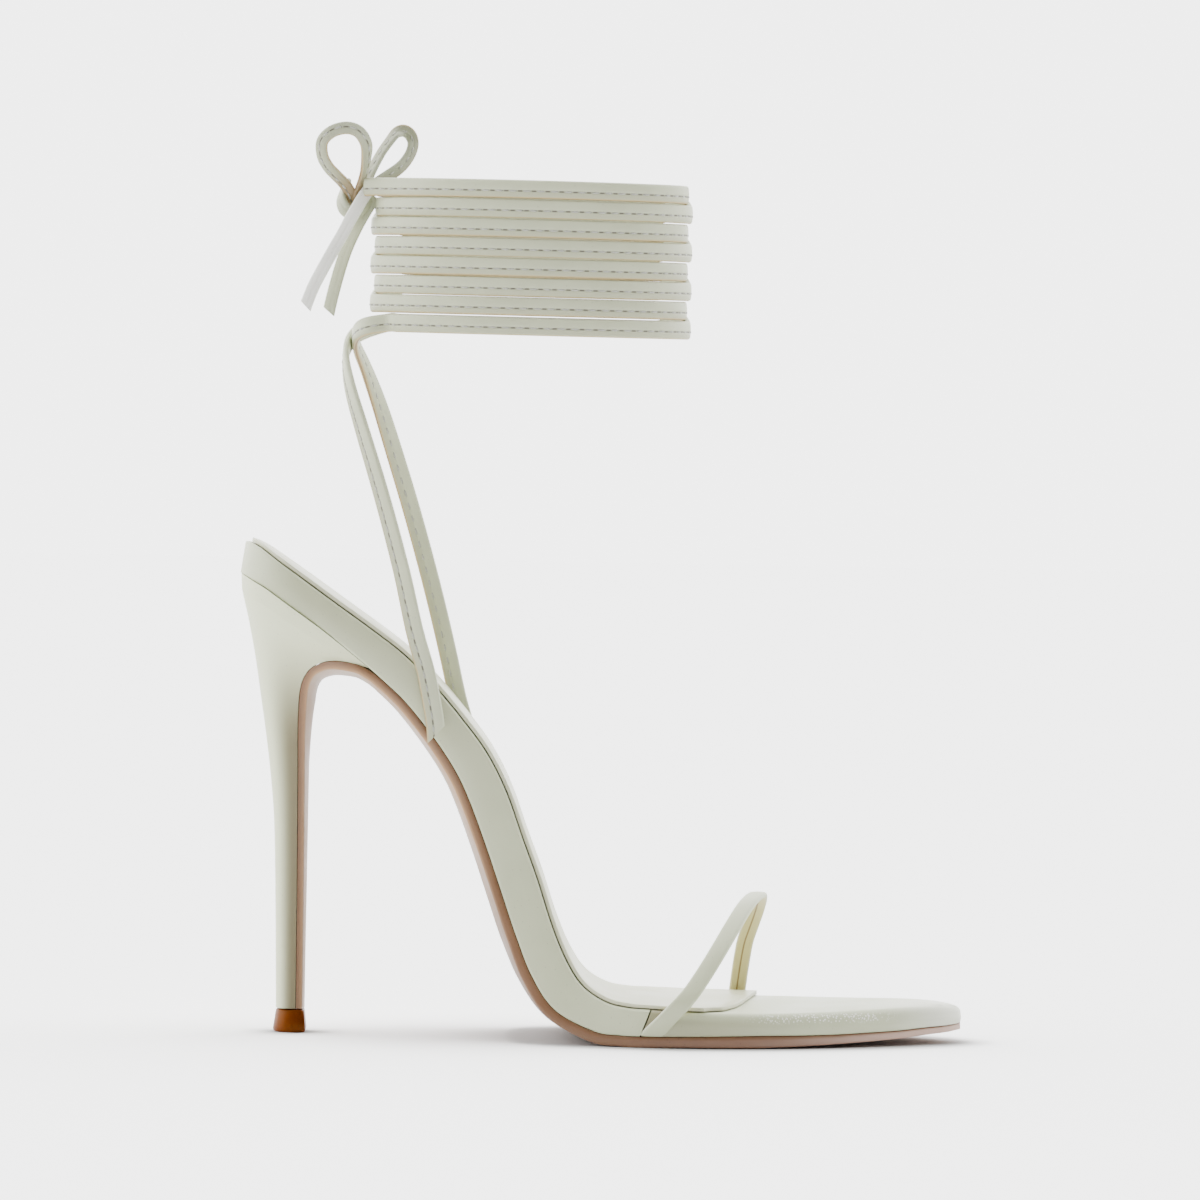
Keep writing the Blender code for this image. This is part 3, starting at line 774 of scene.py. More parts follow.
def cover_leather(looks):
    """Pale leather of the pointed front, with olive painted shade in the toe strap's fold and low
    on its side, painted light towards the toe and fine flecks of painted glint.
    """
    made, tree, body = leather("cover_leather", looks.cream_colour, 0.945)
    along, side, up = place_parts(tree)
    # Painted shade: the hollow between the rand's cut end and the toe strap's foot, on the outer
    # side, is darkened olive.
    behind = maths(tree, "SUBTRACT", along, times(tree, up, FOLD_LEAN))
    fold = times(tree, span(tree, behind, *FOLD_X), span(tree, side, *FOLD_Y))
    body = blend(tree, times(tree, fold, FOLD_SHADE), body, looks.shade_colour)
    # Painted shade: the cover's side is darkened low down and back from the toe, beside the strap's
    # foot.
    dim = times(tree, span(tree, along, *COVER_SIDE_X), span(tree, up, *COVER_SIDE_Z))
    body = blend(tree, times(tree, dim, COVER_SIDE_SHADE), body, looks.shade_colour)
    # Painted light: the cover grows lighter towards the toe tip, where its surface turns to the
    # light.
    pale = times(tree, span(tree, along, *TOE_LIGHT_X), TOE_LIGHT)
    body = blend(tree, pale, body, looks.painted_light_colour)
    # Painted highlight: fine light flecks in a band along the cover's rounded shoulder stand in for
    # glints off its grain.
    fleck = use_group(tree, fleck_group(), Scale=1500.0, Size=0.34)
    shoulder = times(tree, window(tree, up, *GLINT_Z), window(tree, along, *GLINT_X))
    bright = times(tree, shoulder, fleck.outputs["Fleck"])
    return dyed(made, blend(tree, bright, body, looks.painted_light_colour))


def sock_lining(looks):
    """Lining leather with olive painted shade along its cut lower edge."""
    made, tree, body = leather("sock_lining", looks.sock_colour, 0.965, 2300.0, coat=0.08)
    # Painted shade: the sock's lower edges are darkened olive, for the shade in the gap under them.
    edge = span(tree, away(tree, uv_parts(tree)[0], SOCK_TOP), *SOCK_EDGE_ROUND)
    return dyed(made, blend(tree, times(tree, edge, SOCK_EDGE_SHADE), body, looks.shade_colour))


def heel_leather(looks):
    """Pale leather of the heel, with olive painted shade low down, darkest where its sides turn in
    to the front.
    """
    made, tree, body = leather("heel_leather", looks.lit_heel_colour, 0.97, 2300.0, coat=0.1)
    front = span(tree, away(tree, uv_parts(tree)[0], SECTION_MIDDLE), *HEEL_FRONT_ROUND)
    low = span(tree, place_parts(tree)[2], *HEEL_LOW_Z)
    # Painted shade: low down the heel is darkened olive, a little all round and strongly where its
    # sides turn in to the front.
    shade_mask = times(tree, maths(tree, "MULTIPLY_ADD", front, HEEL_FRONT_SHADE, HEEL_LOW_SHADE), low)
    return dyed(made, blend(tree, shade_mask, body, looks.shade_colour))


def amber_rubber(looks):
    """Amber rubber of the heel tip, with an amber shine."""
    made, _, body = leather(
        "amber_rubber", looks.tip_colour, 0.8, 900.0, coat=0.0, specular=0.35,
        smooth=0.3, dull=0.42,
    )
    shader = made.node_tree.nodes["Principled BSDF"]
    shader.inputs["Specular Tint"].default_value = (1.0, 0.62, 0.22, 1.0)
    return dyed(made, body)


def sole_leather(looks):
    """Sole leather: brown at the forefoot, lighter in the arch, pinkish down the heel's front."""
    made, tree, body = leather("sole_leather", (1.0, 1.0, 1.0), 0.93, 1500.0, coat=0.1)
    along, _, up = place_parts(tree)
    middle = away(tree, uv_parts(tree)[0], SECTION_MIDDLE)
    fore = blend(tree, span(tree, along, *SOLE_TOE_X), looks.sole_colour, looks.sole_tip_colour)
    fore = blend(tree, span(tree, middle, *SOLE_EDGE_ROUND), fore, looks.edge_colour)
    turn = span(tree, along, *SOLE_TURN_X, *SOLE_TURN_ROUND)
    wall = span(tree, middle, turn, maths(tree, "ADD", turn, SOLE_WALL))
    rear = blend(tree, wall, looks.breast_colour, looks.arch_colour)
    rear = blend(tree, span(tree, middle, *SOLE_REAR_EDGE_ROUND), rear, looks.edge_colour)
    # Painted shade: low on the arch, near the floor, the sole is darkened to its edge colour, for
    # the shade between arch and floor.
    low_shade = times(tree, span(tree, up, *SOLE_SHADE_Z), span(tree, along, *SOLE_SHADE_X))
    rear = blend(tree, times(tree, low_shade, SOLE_SHADE), rear, looks.edge_colour)
    bend = times(tree, span(tree, along, *SOLE_BEND_X), SOLE_BEND_DYE)
    fore = blend(tree, bend, fore, looks.edge_colour)
    colour = blend(tree, span(tree, along, *SOLE_REAR_X), fore, rear)
    return dyed(made, blend(tree, 1.0, body, colour, blend_type="MULTIPLY"))


def toe_strap_leather(looks):
    """Pale leather outside, darker yellowish leather inside with a seam down its middle."""
    made, tree, body = leather("toe_strap_leather", looks.cream_colour, 0.965)
    around, _ = uv_parts(tree)
    # The strap's inner face is painted a darker yellowish colour.
    body = blend(tree, window(tree, around, *STRAP_INSIDE_ROUND), body, looks.inside_colour)
    seam = span(tree, away(tree, around, STRAP_INNER_FACE), *STRAP_SEAM_ROUND)
    body = blend(tree, seam, body, looks.seam_colour)
    # Painted highlight: one side edge of the toe strap is painted in the lightest colour, for the
    # light along it.
    rim = span(tree, maths(tree, "PINGPONG", around, 0.5), *STRAP_HIGHLIGHT_ROUND)
    return dyed(made, blend(tree, times(tree, rim, STRAP_HIGHLIGHT), body, looks.painted_light_colour))


def tie_leather(name, colour, row, low=0.5, fold=0.0):
    """Leather of the ties, with needle holes at row and a cut tan edge at low, round a section.

    Each row has painted shade growing towards its cut edge, and a brown line of painted shade under
    it.
    A fold above 0 paints brown shade on it where it goes down into the knot.
    """
    looks = bpy.context.scene.sandal
    made, tree, body = leather(name, colour, 0.94, 2100.0, coat=0.06)
    seam = use_group(tree, seam_group(), Row=row, Pitch=looks.stitch_pitch)
    lowered = maths(tree, "ADD", uv_parts(tree)[0], 0.5 - low)
    turned = maths(tree, "PINGPONG", lowered, 0.5)
    # Painted shade: each row is darkened olive towards its cut edge.
    dim = times(tree, span(tree, turned, *TIE_SHADE_ROUND), TIE_SHADE)
    body = blend(tree, dim, body, looks.shade_colour)
    body = blend(tree, span(tree, turned, *TIE_CUT_ROUND), body, looks.cut_colour)
    # Partly painted shade: a brown line at each row's underside, the cut edge's brown darkened for
    # the shade between the rows.
    body = blend(tree, span(tree, turned, *TIE_BROWN_ROUND), body, looks.seam_colour)
    if fold:
        # Painted shade: the bow's straps are darkened brown below the knot's top, for the shade the
        # loops cast there.
        inside = times(tree, span(tree, place_parts(tree)[2], *KNOT_SHADE_Z), fold)
        body = blend(tree, inside, body, looks.seam_colour)
    # Painted shade: the seam's groove is darkened and the needle holes are painted as dark spots,
    # for the shade in them.
    body = blend(tree, times(tree, seam.outputs["Groove"], GROOVE_SHADE), body, looks.hole_shade_colour)
    return dyed(made, blend(tree, seam.outputs["Hole"], body, looks.hole_shade_colour))


def thread_material():
    """Twisted sewing thread."""
    name = "thread"
    if name in bpy.data.materials:
        return bpy.data.materials[name]
    colour = bpy.context.scene.sandal.thread_colour
    made, tree, shader = new_material(name, roughness=0.55, sheen=0.2)
    where = add_node(tree, "ShaderNodeTexCoord").outputs["Object"]
    twist = {"Vector": where, "Scale": 2600.0, "Distortion": 1.0}
    wave = add_node(tree, "ShaderNodeTexWave", twist, bands_direction="DIAGONAL").outputs["Fac"]
    bump = {"Height": wave, "Strength": 0.5, "Distance": 0.00005}
    bump = add_node(tree, "ShaderNodeBump", bump)
    tree.links.new(bump.outputs["Normal"], shader.inputs["Normal"])
    return dyed(made, blend(tree, wave, dimmed(colour, 0.6), colour))


def camera_only(tree, usual, seen, output):
    """Send a shader to an output, with another in its place for what the camera sees of it."""
    path = add_node(tree, "ShaderNodeLightPath")
    mix = add_node(tree, "ShaderNodeMixShader", {0: path.outputs["Is Camera Ray"]})
    tree.links.new(usual.outputs[0], mix.inputs[1])
    tree.links.new(seen.outputs[0], mix.inputs[2])
    tree.links.new(mix.outputs[0], output.inputs["Surface"])


def floor_paint(looks):
    """Plain floor, lifted for the camera, with a painted shadow darkening it under the sandal."""
    made, tree, shader = new_material("floor_paint", roughness=0.95, specular=0.0)
    grain = use_group(tree, grain_group(), Pores=60.0, Clouds=2.0)
    colour = looks.floor_colour
    paint = blend(tree, grain.outputs["Cloud"], dimmed(colour, 0.992), colour)
    painted_shadows = []
    # Painted shadow: ambient occlusion near the sandal, raised to a power, darkens the floor's
    # colour as a wide soft shadow and a narrow dark line where the sole stands.
    for reach, power in (
        (looks.contact_reach, looks.contact_power), (looks.touch_reach, looks.touch_power),
    ):
        near = add_node(tree, "ShaderNodeAmbientOcclusion", {"Distance": reach}, samples=12)
        painted_shadows.append(maths(tree, "POWER", near.outputs["AO"], power))
    lift = times(tree, maths(tree, "MAXIMUM", times(tree, *painted_shadows), DARKEST_FLOOR), looks.floor_lift)
    bright = add_node(tree, "ShaderNodeVectorMath", {0: paint, "Scale": lift}, operation="SCALE")
    lit = add_node(tree, "ShaderNodeBsdfDiffuse", {"Color": bright.outputs[0]})
    camera_only(tree, shader, lit, tree.nodes["Material Output"])
    return dyed(made, paint)


def studio_world(looks):
    """Even light from all sides but the front, which is darker, and a plain backdrop."""
    world = bpy.data.worlds.new("studio")
    world.use_nodes = True
    tree = world.node_tree
    tree.nodes.clear()
    where = add_node(tree, "ShaderNodeTexCoord").outputs["Generated"]
    parts = add_node(tree, "ShaderNodeSeparateXYZ", {"Vector": where})
    sideways = times(tree, parts.outputs["X"], -0.25)
    ahead = maths(tree, "MULTIPLY_ADD", parts.outputs["Y"], 0.97, sideways)
    front = span(tree, ahead, looks.front_edge, looks.front_core)
    sky = looks.sky_strength
    power = maths(tree, "MULTIPLY_ADD", front, looks.front_strength - sky, sky)
    white = (1.0, 1.0, 1.0, 1.0)
    even = add_node(tree, "ShaderNodeBackground", {"Color": white, "Strength": power})
    seen = add_node(tree, "ShaderNodeBackground", {"Color": white, "Strength": looks.backdrop})
    camera_only(tree, even, seen, add_node(tree, "ShaderNodeOutputWorld"))
    return world


def board_ring(rib, radius, crown):
    """Outline of the covered board at a rib, with rounded edges and a crowned top."""
    top_x, top_z, low_x, low_z, outer, inner = rib
    depth = math.hypot(low_x - top_x, low_z - top_z)
    middle = (inner - outer) / 2.0
    half = (inner + outer) / 2.0
    round_top = min(radius, half * 0.6, depth * 0.45)
    round_low = min(LOW_ROUND, half * 0.3, depth * 0.3)
    side = [(half * part, -crown * (1.0 - part ** 2.5)) for part in (0.2, 0.4, 0.58, 0.74)]
    side = [point for point in side if point[0] < half - round_top]
    while len(side) < 4:
        last = side[-1][0] if side else 0.0
        side.append((last * 0.5 + (half - round_top) * 0.5, -crown * 0.3))
    side += [(half - round_top * a, round_top * b) for a, b in quarter_round(7)]
    for part in (0.2, 0.4, 0.6, 0.8):
        swell = SIDE_SWELL * math.sin(math.pi * part)
        side.append((half + swell, round_top + (depth - round_low - round_top) * part))
    side += [(half - round_low * b, depth - round_low * a) for a, b in quarter_round(5)]
    outline = [(-y, d) for y, d in side]
    outline += [(y, d) for y, d in reversed(side)]
    outline.append((0.0, -crown))
    points = []
    for y, d in outline:
        part = d / depth
        points.append((top_x + (low_x - top_x) * part, middle + y, top_z + (low_z - top_z) * part))
    return points


def board_rings(first, last):
    """Rings of the board between two ribs."""
    rings = []
    for place in places(first, last, BOARD_STEP):
        radius, crown = straight_row(EDGE_RADIUS, place)
        rings.append(board_ring(smooth_row(BOARD, place), radius, crown))
    return rings


def sock_ring(place):
    """Outline of the sock at a rib of the board."""
    top_x, top_z, low_x, low_z, outer, inner = smooth_row(BOARD, place)
    depth = math.hypot(low_x - top_x, low_z - top_z)
    up_x = (top_x - low_x) / depth
    up_z = (top_z - low_z) / depth
    share = 1.0
    if place < SOCK_ROUND_END:
        back = (SOCK_ROUND_END - place) / (SOCK_ROUND_END - SOCK_FIRST_RIB + 0.02)
        share = math.sqrt(1.0 - back * back)
    near = -(outer - SOCK_INSET) * share
    far = (inner - SOCK_INSET) * share
    if top_x > SOCK_FRONT[0][0]:
        near = max(near, straight_row(SOCK_FRONT, top_x)[0])
    soft = min(SOCK_ROUND, (far - near) * 0.2)
    edge = [(soft * a, SOCK_THICK - soft * b) for a, b in quarter_round(6)]
    outline = [(near, SOCK_GAP)] + [(near + a, SOCK_GAP + b) for a, b in reversed(edge)]
    outline += [(near + (far - near) * part, SOCK_GAP + SOCK_THICK) for part in (0.25, 0.5, 0.75)]
    outline += [(far - a, SOCK_GAP + b) for a, b in edge] + [(far, SOCK_GAP)]
    return [(top_x + up_x * d, y, top_z + up_z * d) for y, d in outline]


def rib_of_top_x(x):
    """The place among the board's ribs where its top edge has this x."""
    for i, (low, high) in enumerate(zip(BOARD, BOARD[1:])):
        if low[0] <= x <= high[0]:
            return i + (x - low[0]) / (high[0] - low[0])
    return float(len(BOARD) - 1)


def sole_line():
    """The upper line of the sole from toe to heel tip: x, z, outer and inner reach, and its rib."""
    rows = [(*SOLE_TIP, len(BOARD) - 1.0)]
    for rib in range(len(BOARD) - 2, WAIST_RIB - 1, -1):
        row = BOARD[rib]
        rows.append((row[2], row[3], row[4] - SOLE_INSET, row[5] - SOLE_INSET, float(rib)))
    for i, row in enumerate(BREAST):
        rows.append((row[0], row[1], row[2], row[2], WAIST_RIB - 1.0 - BREAST_RIB_STEP * i))
    return rows


def direction(rows, place):
    """The way that a line in side view runs at a place in its table."""
    ahead = smooth_row(rows, place + 0.02)
    behind = smooth_row(rows, place - 0.02)
    length = math.hypot(ahead[0] - behind[0], ahead[1] - behind[1])
    return (ahead[0] - behind[0]) / length, (ahead[1] - behind[1]) / length


def sole_ring(rows, place):
    """Outline of the sole at a place along its upper line."""
    x, z, outer, inner, rib = smooth_row(rows, place)
    run_x, run_z = direction(rows, place)
    edge, swell = straight_row(SOLE, rib)
    middle = (inner - outer) / 2.0
    half = (inner + outer) / 2.0
    soft = min(SOLE_ROUND, half * 0.3, edge * 0.4)
    side = [(half - 0.15, 0.0), (half, 0.15), (half, (edge - soft) * 0.5), (half, edge - soft)]
    side += [(half - soft * b, edge - soft * a) for a, b in quarter_round(5)[1:]]
    for part in (0.85, 0.7, 0.5, 0.3, 0.12):
        side.append(((half - soft) * part, edge + swell * (1.0 - part * part)))
    outline = [(-y, d) for y, d in side] + [(y, d) for y, d in reversed(side)]
    points = []
    for y, d in outline:
        down = d + SOLE_GAP
        low = z + run_x * down
        points.append((x - run_z * down, middle + y, low if low > TREAD_FLAT else 0.0))
    return points


def heel_half_width(part, half, front_half, squareness):
    """Half width of a heel section, from 0 at its back to 1 at its front."""
    if part < WIDEST:
        return half * (1.0 - (1.0 - part / WIDEST) ** squareness) ** (1.0 / squareness)
    ease = (part - WIDEST) / (1.0 - WIDEST)
    return half + (front_half - half) * ease * ease


def heel_ring(half, front_half, squareness, line):
    """A heel section along a line in side view from its back to its front."""
    steps = [1.0 - math.cos(i / 16.0 * math.pi / 2.0) for i in range(17)]
    steps[0] = 0.003
    points = []
    for part in steps:
        y = heel_half_width(part, half, front_half, squareness)
        x, z = line(part)
        points.append((x, -y, z))
    return points + [(x, -y, z) for x, y, z in reversed(points)]


def low_edge_at(x):
    """A point just under the low edge of the board."""
    for i in range(len(BOARD) * EDGE_PARTS):
        row = smooth_row(BOARD, i / EDGE_PARTS)
        if row[2] >= x:
            break
    ahead = smooth_row(BOARD, i / EDGE_PARTS + 0.1)
    behind = smooth_row(BOARD, i / EDGE_PARTS - 0.1)
    run_x = ahead[2] - behind[2]
    run_z = ahead[3] - behind[3]
    length = math.hypot(run_x, run_z)
    return row[2] + run_z / length * SOLE_GAP, row[3] - run_x / length * SOLE_GAP


def strap_outline(width, thick, row=None):
    """Points round a strap's section, across and outwards, with a groove at a stitched row."""
    side = width / 2.0
    face = thick / 2.0 - STRAP_CROWN
    soft = min(face * 0.95, side * 0.5)
    corner = quarter_round(5)
    flat = side - soft
    spots = [0.66, 0.33, 0.0, -0.33, -0.66]
    if row is not None:
        beside = [row / flat + shift / flat for shift in (-0.5, -0.25, 0.0, 0.25, 0.5)]
        spots = sorted([s for s in spots if abs(s * flat - row) > 0.6] + beside, reverse=True)
    outline = [(side - soft * b, face - soft * a) for a, b in corner]
    for spot in spots:
        dip = 0.0
        if row is not None:
            dip = SEAM_DEPTH * math.exp(-(((spot * flat - row) / SEAM_HALF) ** 2))
        outline.append((spot * flat, face + STRAP_CROWN * (1.0 - spot * spot) - dip))
    outline += [(-side + soft * a, face - soft * b) for a, b in corner]
    return outline + [(a, -b) for a, b in reversed(outline)]


def strap_rings(points, faces, section, slants=(0.0, 0.0), swell=None):
    """Rings of a flat strap along points, each with the way that its outer face looks.

    Its two ends may be cut at a slant, which dies out within SLANT_REACH.
    """
    rings = []
    last = len(points) - 1
    lengths = [length / MM for length in run_lengths(points)]
    for i, (point, face) in enumerate(zip(points, faces)):
        run = (points[min(i + 1, last)] - points[max(i - 1, 0)]).normalized()
        out = (face - run * face.dot(run)).normalized()
        across = out.cross(run)
        slant = slants[0] * max(0.0, 1.0 - lengths[i] / SLANT_REACH)
        slant += slants[1] * max(0.0, 1.0 - (lengths[last] - lengths[i]) / SLANT_REACH)
        size = swell(i / last) if swell else 1.0
        ring = [point + across * (a * size) + out * b + run * (a * slant) for a, b in section]
        rings.append(ring)
    return rings


def bearing_face(bearing):
    """The level way that a bearing in degrees names."""
    turn = math.radians(bearing)
    return Vector((math.cos(turn), math.sin(turn), 0.0))


def cuff_rows(side):
    """Middle line of one tie in the cuff. side is 1 from the inner and -1 from the outer riser."""
    rows = []
    last = CUFF_HALF_TURNS * HALF_TURN_STEPS
    end = last + (INNER_SPARE_STEPS if side > 0.0 else OUTER_SPARE_STEPS)
    for step in range(CUFF_FIRST_STEP, end):
        half_turns = step / HALF_TURN_STEPS
        turn = math.pi * (1.0 + side * half_turns)
        nearest = round(half_turns)
        leaves = (nearest % 2 == 1) == (side > 0.0)
        past = 180.0 * (half_turns - nearest) - (CROSS_SHIFT if leaves else -CROSS_SHIFT)
        bump = 0.5 + 0.5 * math.cos(math.pi * min(abs(past) / CROSS_REACH, 1.0))
        outside = side if nearest % 2 else -side
        row = float(min(int(half_turns), CUFF_HALF_TURNS - 1))
        if 0 < nearest < CUFF_HALF_TURNS:
            ease = math.sin(math.pi / 2.0 * max(-1.0, min(1.0, past / CROSS_SPREAD)))
            row = nearest - 0.5 + 0.5 * ease
        grow = CROSS_STEP * bump * outside
        x = (CUFF_HALF_LENGTH + grow) * math.cos(turn)
        y = (CUFF_HALF_WIDTH + grow) * math.sin(turn)
        z = CUFF_BOTTOM_ROW + CUFF_PITCH * row - x * math.tan(math.radians(CUFF_TILT))
        z += (CUFF_HALF_WIDTH + y) * math.tan(math.radians(CUFF_LEAN))
        face = Vector((math.cos(turn) / CUFF_HALF_LENGTH, math.sin(turn) / CUFF_HALF_WIDTH, 0.0))
        rows.append((CUFF_CENTRE_X + x, y, z, *face.normalized()))
    return rows


def fine_line(rows, steps):
    """Points and faces along a smooth line through rows of a place and an outward way."""
    points = []
    faces = []
    for place in places(0.0, len(rows) - 1.0, 1.0 / steps):
        row = smooth_row(rows, place)
        points.append(Vector(row[:3]))
        faces.append(Vector(row[3:6]).normalized())
    return points, faces


def with_faces(rows):
    """Rows of a place and a bearing, as rows of a place and an outward way."""
    return [(*row[:3], *bearing_face(row[3])) for row in rows]


def stitches(name, lines, across_by):
    """Threads in a row along both faces of straps, one short rounded bar for each stitch."""
    looks = bpy.context.scene.sandal
    pitch = looks.stitch_pitch
    bar = (looks.stitch_length / 2.0, looks.thread_width / 2.0, looks.thread_width * 0.36, 1.0)
    work = bmesh.new()
    for points, faces, height in lines:
        lengths = run_lengths(points)
        i = 0
        for number in range(int(lengths[-1] / pitch)):
            middle = (number + 0.5) * pitch
            while i < len(lengths) - 2 and lengths[i + 1] < middle:
                i += 1
            part = (middle - lengths[i]) / (lengths[i + 1] - lengths[i])
            point = points[i].lerp(points[i + 1], part)
            run = (points[i + 1] - points[i]).normalized()
            face = faces[i].lerp(faces[i + 1], part)
            out = (face - run * face.dot(run)).normalized()
            across = out.cross(run)
            turn = Matrix((run, across, out)).transposed().to_4x4()
            for sign in (1.0, -1.0):
                spot = (point + across * across_by + out * (height * sign)) * MM
                place = Matrix.Translation(spot) @ turn @ Matrix.Diagonal(bar)
                bmesh.ops.create_icosphere(work, subdivisions=1, radius=1.0, matrix=place)
    return put(name, work, thread_material(), sharp=180.0)


def strap_piece(name, rows, steps, size, finish, row=None, slants=(0.0, 0.0), swell=None, **given):
    """A strap along rows of a place and an outward way, with its line and faces."""
    points, faces = fine_line(rows, steps)
    rings = strap_rings(points, faces, strap_outline(*size, row=row), slants, swell)
    return put(name, skin(rings, run_lengths(points)), finish, **given), points, faces


def hole_row(row, width, thick):
    """Where round a stitched strap's section its row of stitches lies, from 0 to 1."""
    outline = strap_outline(width, thick, row)
    nearest = min(range(len(outline) // 2), key=lambda i: abs(outline[i][0] - row))
    return nearest / len(outline)


def strap_foot(part):
    """How much wider the toe strap is at a share of its length: it flares at the board."""
    return 1.0 + FOOT_SWELL * math.exp(-((part / FOOT_REACH) ** 2))


def side_line(back, front):
    """A straight line in side view, from a part of 0 at its back to 1 at its front."""
    return lambda part: tuple(a + (b - a) * part for a, b in zip(back, front))


def length_setting(name, description, default, low, high):
    """A length in metres that a user may change."""
    return bpy.props.FloatProperty(
        name=name, description=description, default=default, min=low, max=high, subtype="DISTANCE",
    )


def amount_setting(name, description, default, low, high):
    """A plain number that a user may change."""
    return bpy.props.FloatProperty(
        name=name, description=description, default=default, min=low, max=high,
    )


def colour_setting(name, description, *default):
    """A colour that a user may change."""
    return bpy.props.FloatVectorProperty(
        name=name, description=description, default=default, min=0.0, max=1.0, size=3,
        subtype="COLOR",
    )


class SandalLooks(bpy.types.PropertyGroup):
    """Sizes and colours of the sandal's finish."""

    tie_width: length_setting(
        "Tie width", "Width of the ankle ties", 0.0049, 0.003, 0.0055,
    )
    tie_thickness: length_setting(
        "Tie thickness", "Thickness of the folded ties", 0.0018, 0.001, 0.0022,
    )
    bow_width: length_setting(
        "Bow width", "Width of the ties where they are drawn into the bow", 0.0034, 0.003, 0.0042,
    )
    stitch_row: length_setting(
        "Stitch row", "How far below the middle of a tie its stitches run", 0.0005, 0.0, 0.0016,
    )
    stitch_pitch: length_setting(
        "Stitch pitch", "Distance from one needle hole to the next", 0.0036, 0.002, 0.006,
    )
    stitch_length: length_setting(
        "Stitch length", "Length of thread that shows between two holes", 0.0023, 0.001, 0.005,
    )
    thread_width: length_setting(
        "Thread width", "Width of the sewing thread", 0.00062, 0.0002, 0.001,
    )
    cream_colour: colour_setting(
        "Cream leather", "Colour of the board, its cover and the toe strap", 0.585, 0.62, 0.42,
    )
    # Partly painted light: the heel's leather is set paler than the board's cream leather, for the
    # light that falls on the heel.
    lit_heel_colour: colour_setting(
        "Heel leather", "Colour of the leather on the heel", 0.76, 0.80, 0.54,
    )
    tie_colour: colour_setting(
        "Tie leather", "Colour of the ankle ties and the bow", 0.565, 0.595, 0.41,
    )
    sock_colour: colour_setting(
        "Sock lining", "Colour of the lining leather under the foot", 0.62, 0.63, 0.44,
    )
    sole_colour: colour_setting(
        "Sole leather", "Colour of the sole under the forefoot", 0.27, 0.145, 0.09,
    )
    arch_colour: colour_setting(
        "Sole leather at the arch", "Colour of the sole where it rises to the heel",
        0.43, 0.245, 0.12,
    )
    breast_colour: colour_setting(
        "Heel front leather", "Colour of the leather down the front of the heel", 0.42, 0.295, 0.20,
    )
    # Besides the sole's burnished edge, this brown is painted as shade low on the arch near the
    # floor, and it darkens the sole towards the waist.
    edge_colour: colour_setting(
        "Sole edge", "Colour of the burnished edge of the sole", 0.20, 0.10, 0.045,
    )
    tip_colour: colour_setting(
        "Heel tip", "Colour of the amber rubber heel tip", 0.15, 0.030, 0.0006,
    )
    thread_colour: colour_setting("Thread", "Colour of the sewing thread", 0.52, 0.52, 0.45)
    # Laid on the toe strap's inner face, darker and yellower than its outside.
    inside_colour: colour_setting(
        "Inside of the toe strap", "Colour of the bare leather inside the toe strap",
        0.62, 0.55, 0.27,
    )
    # Partly painted shade: this brown marks the toe strap's seam and the ties' cut edges, and is
    # also laid as shade between the tie rows and where the bow's straps go into the knot.
    seam_colour: colour_setting(
        "Seam and cut edges", "Colour of the brown seam and the cut lower edges", 0.26, 0.17, 0.075,
    )
    cut_colour: colour_setting(
        "Cut edge", "Colour of the cut edge under each row of the ties", 0.50, 0.40, 0.20,
    )
    # Painted light: this lightest colour stands in for light on the toe, for glints along the
    # front's shoulder and the toe strap's rim, and for light on the near bow end.
    painted_light_colour: colour_setting(
        "Palest leather", "Colour of the front's fine flecks, the strap's rim and the near bow end",
        0.95, 0.95, 0.88,
    )
    # Painted shade: this olive stands in for shade under the rand's top edge, in the fold behind
    # the toe strap, low on the cover's side, along the sock's edge, on the lower heel, across the
    # ties and on the knot's core.
    shade_colour: colour_setting(
        "Rubbed leather", "Olive colour in the folds and at the front of the heel",
        0.24, 0.21, 0.11,
    )
    sole_tip_colour: colour_setting(
        "Sole leather at the toe", "Colour of the sole at the toe", 0.60, 0.41, 0.33,
    )
    # Painted shade: the dark of the needle holes and along the seam's groove.
    hole_shade_colour: colour_setting(
        "Needle holes", "Colour in the needle holes and along the seam", 0.13, 0.12, 0.09,
    )
    floor_colour: colour_setting("Floor", "Colour of the plain studio floor", 0.84, 0.84, 0.84)
    floor_lift: amount_setting(
        "Floor lift", "How much paler the floor looks than it shines on the sandal", 1.78, 0.1, 5.0,
    )
    # Painted shadow: how far and how strongly ambient occlusion darkens the floor's colour near the
    # sandal and along the sole.
    contact_reach: length_setting(
        "Contact reach", "How far from the sandal the floor is darkened by it", 0.06, 0.001, 0.2,
    )
    contact_power: amount_setting(
        "Contact power", "How strongly the floor darkens under the sandal", 1.2, 0.0, 8.0,
    )
    touch_reach: length_setting(
        "Touch reach", "How far from the sole the dark line where it stands reaches",
        0.012, 0.001, 0.2,
    )
    touch_power: amount_setting(
        "Touch power", "How strongly the floor darkens where the sole stands on it", 1.7, 0.0, 8.0,
    )
    sky_strength: amount_setting(
        "Sky strength", "Strength of the even light from the sides, above and behind",
        4.6, 0.0, 10.0,
    )
    front_strength: amount_setting(
        "Front strength", "Strength of the light from the darker side in front", 0.05, 0.0, 10.0,
    )
    front_edge: amount_setting(
        "Front edge", "Where the darker side in front begins, from -1 to 1", 0.05, -1.0, 1.0,
    )
    front_core: amount_setting(
        "Front core", "Where the darker side in front is darkest, from -1 to 1", -0.6, -1.0, 1.0,
    )
    backdrop: amount_setting("Backdrop", "How bright the plain backdrop looks", 4.7, 0.0, 10.0)


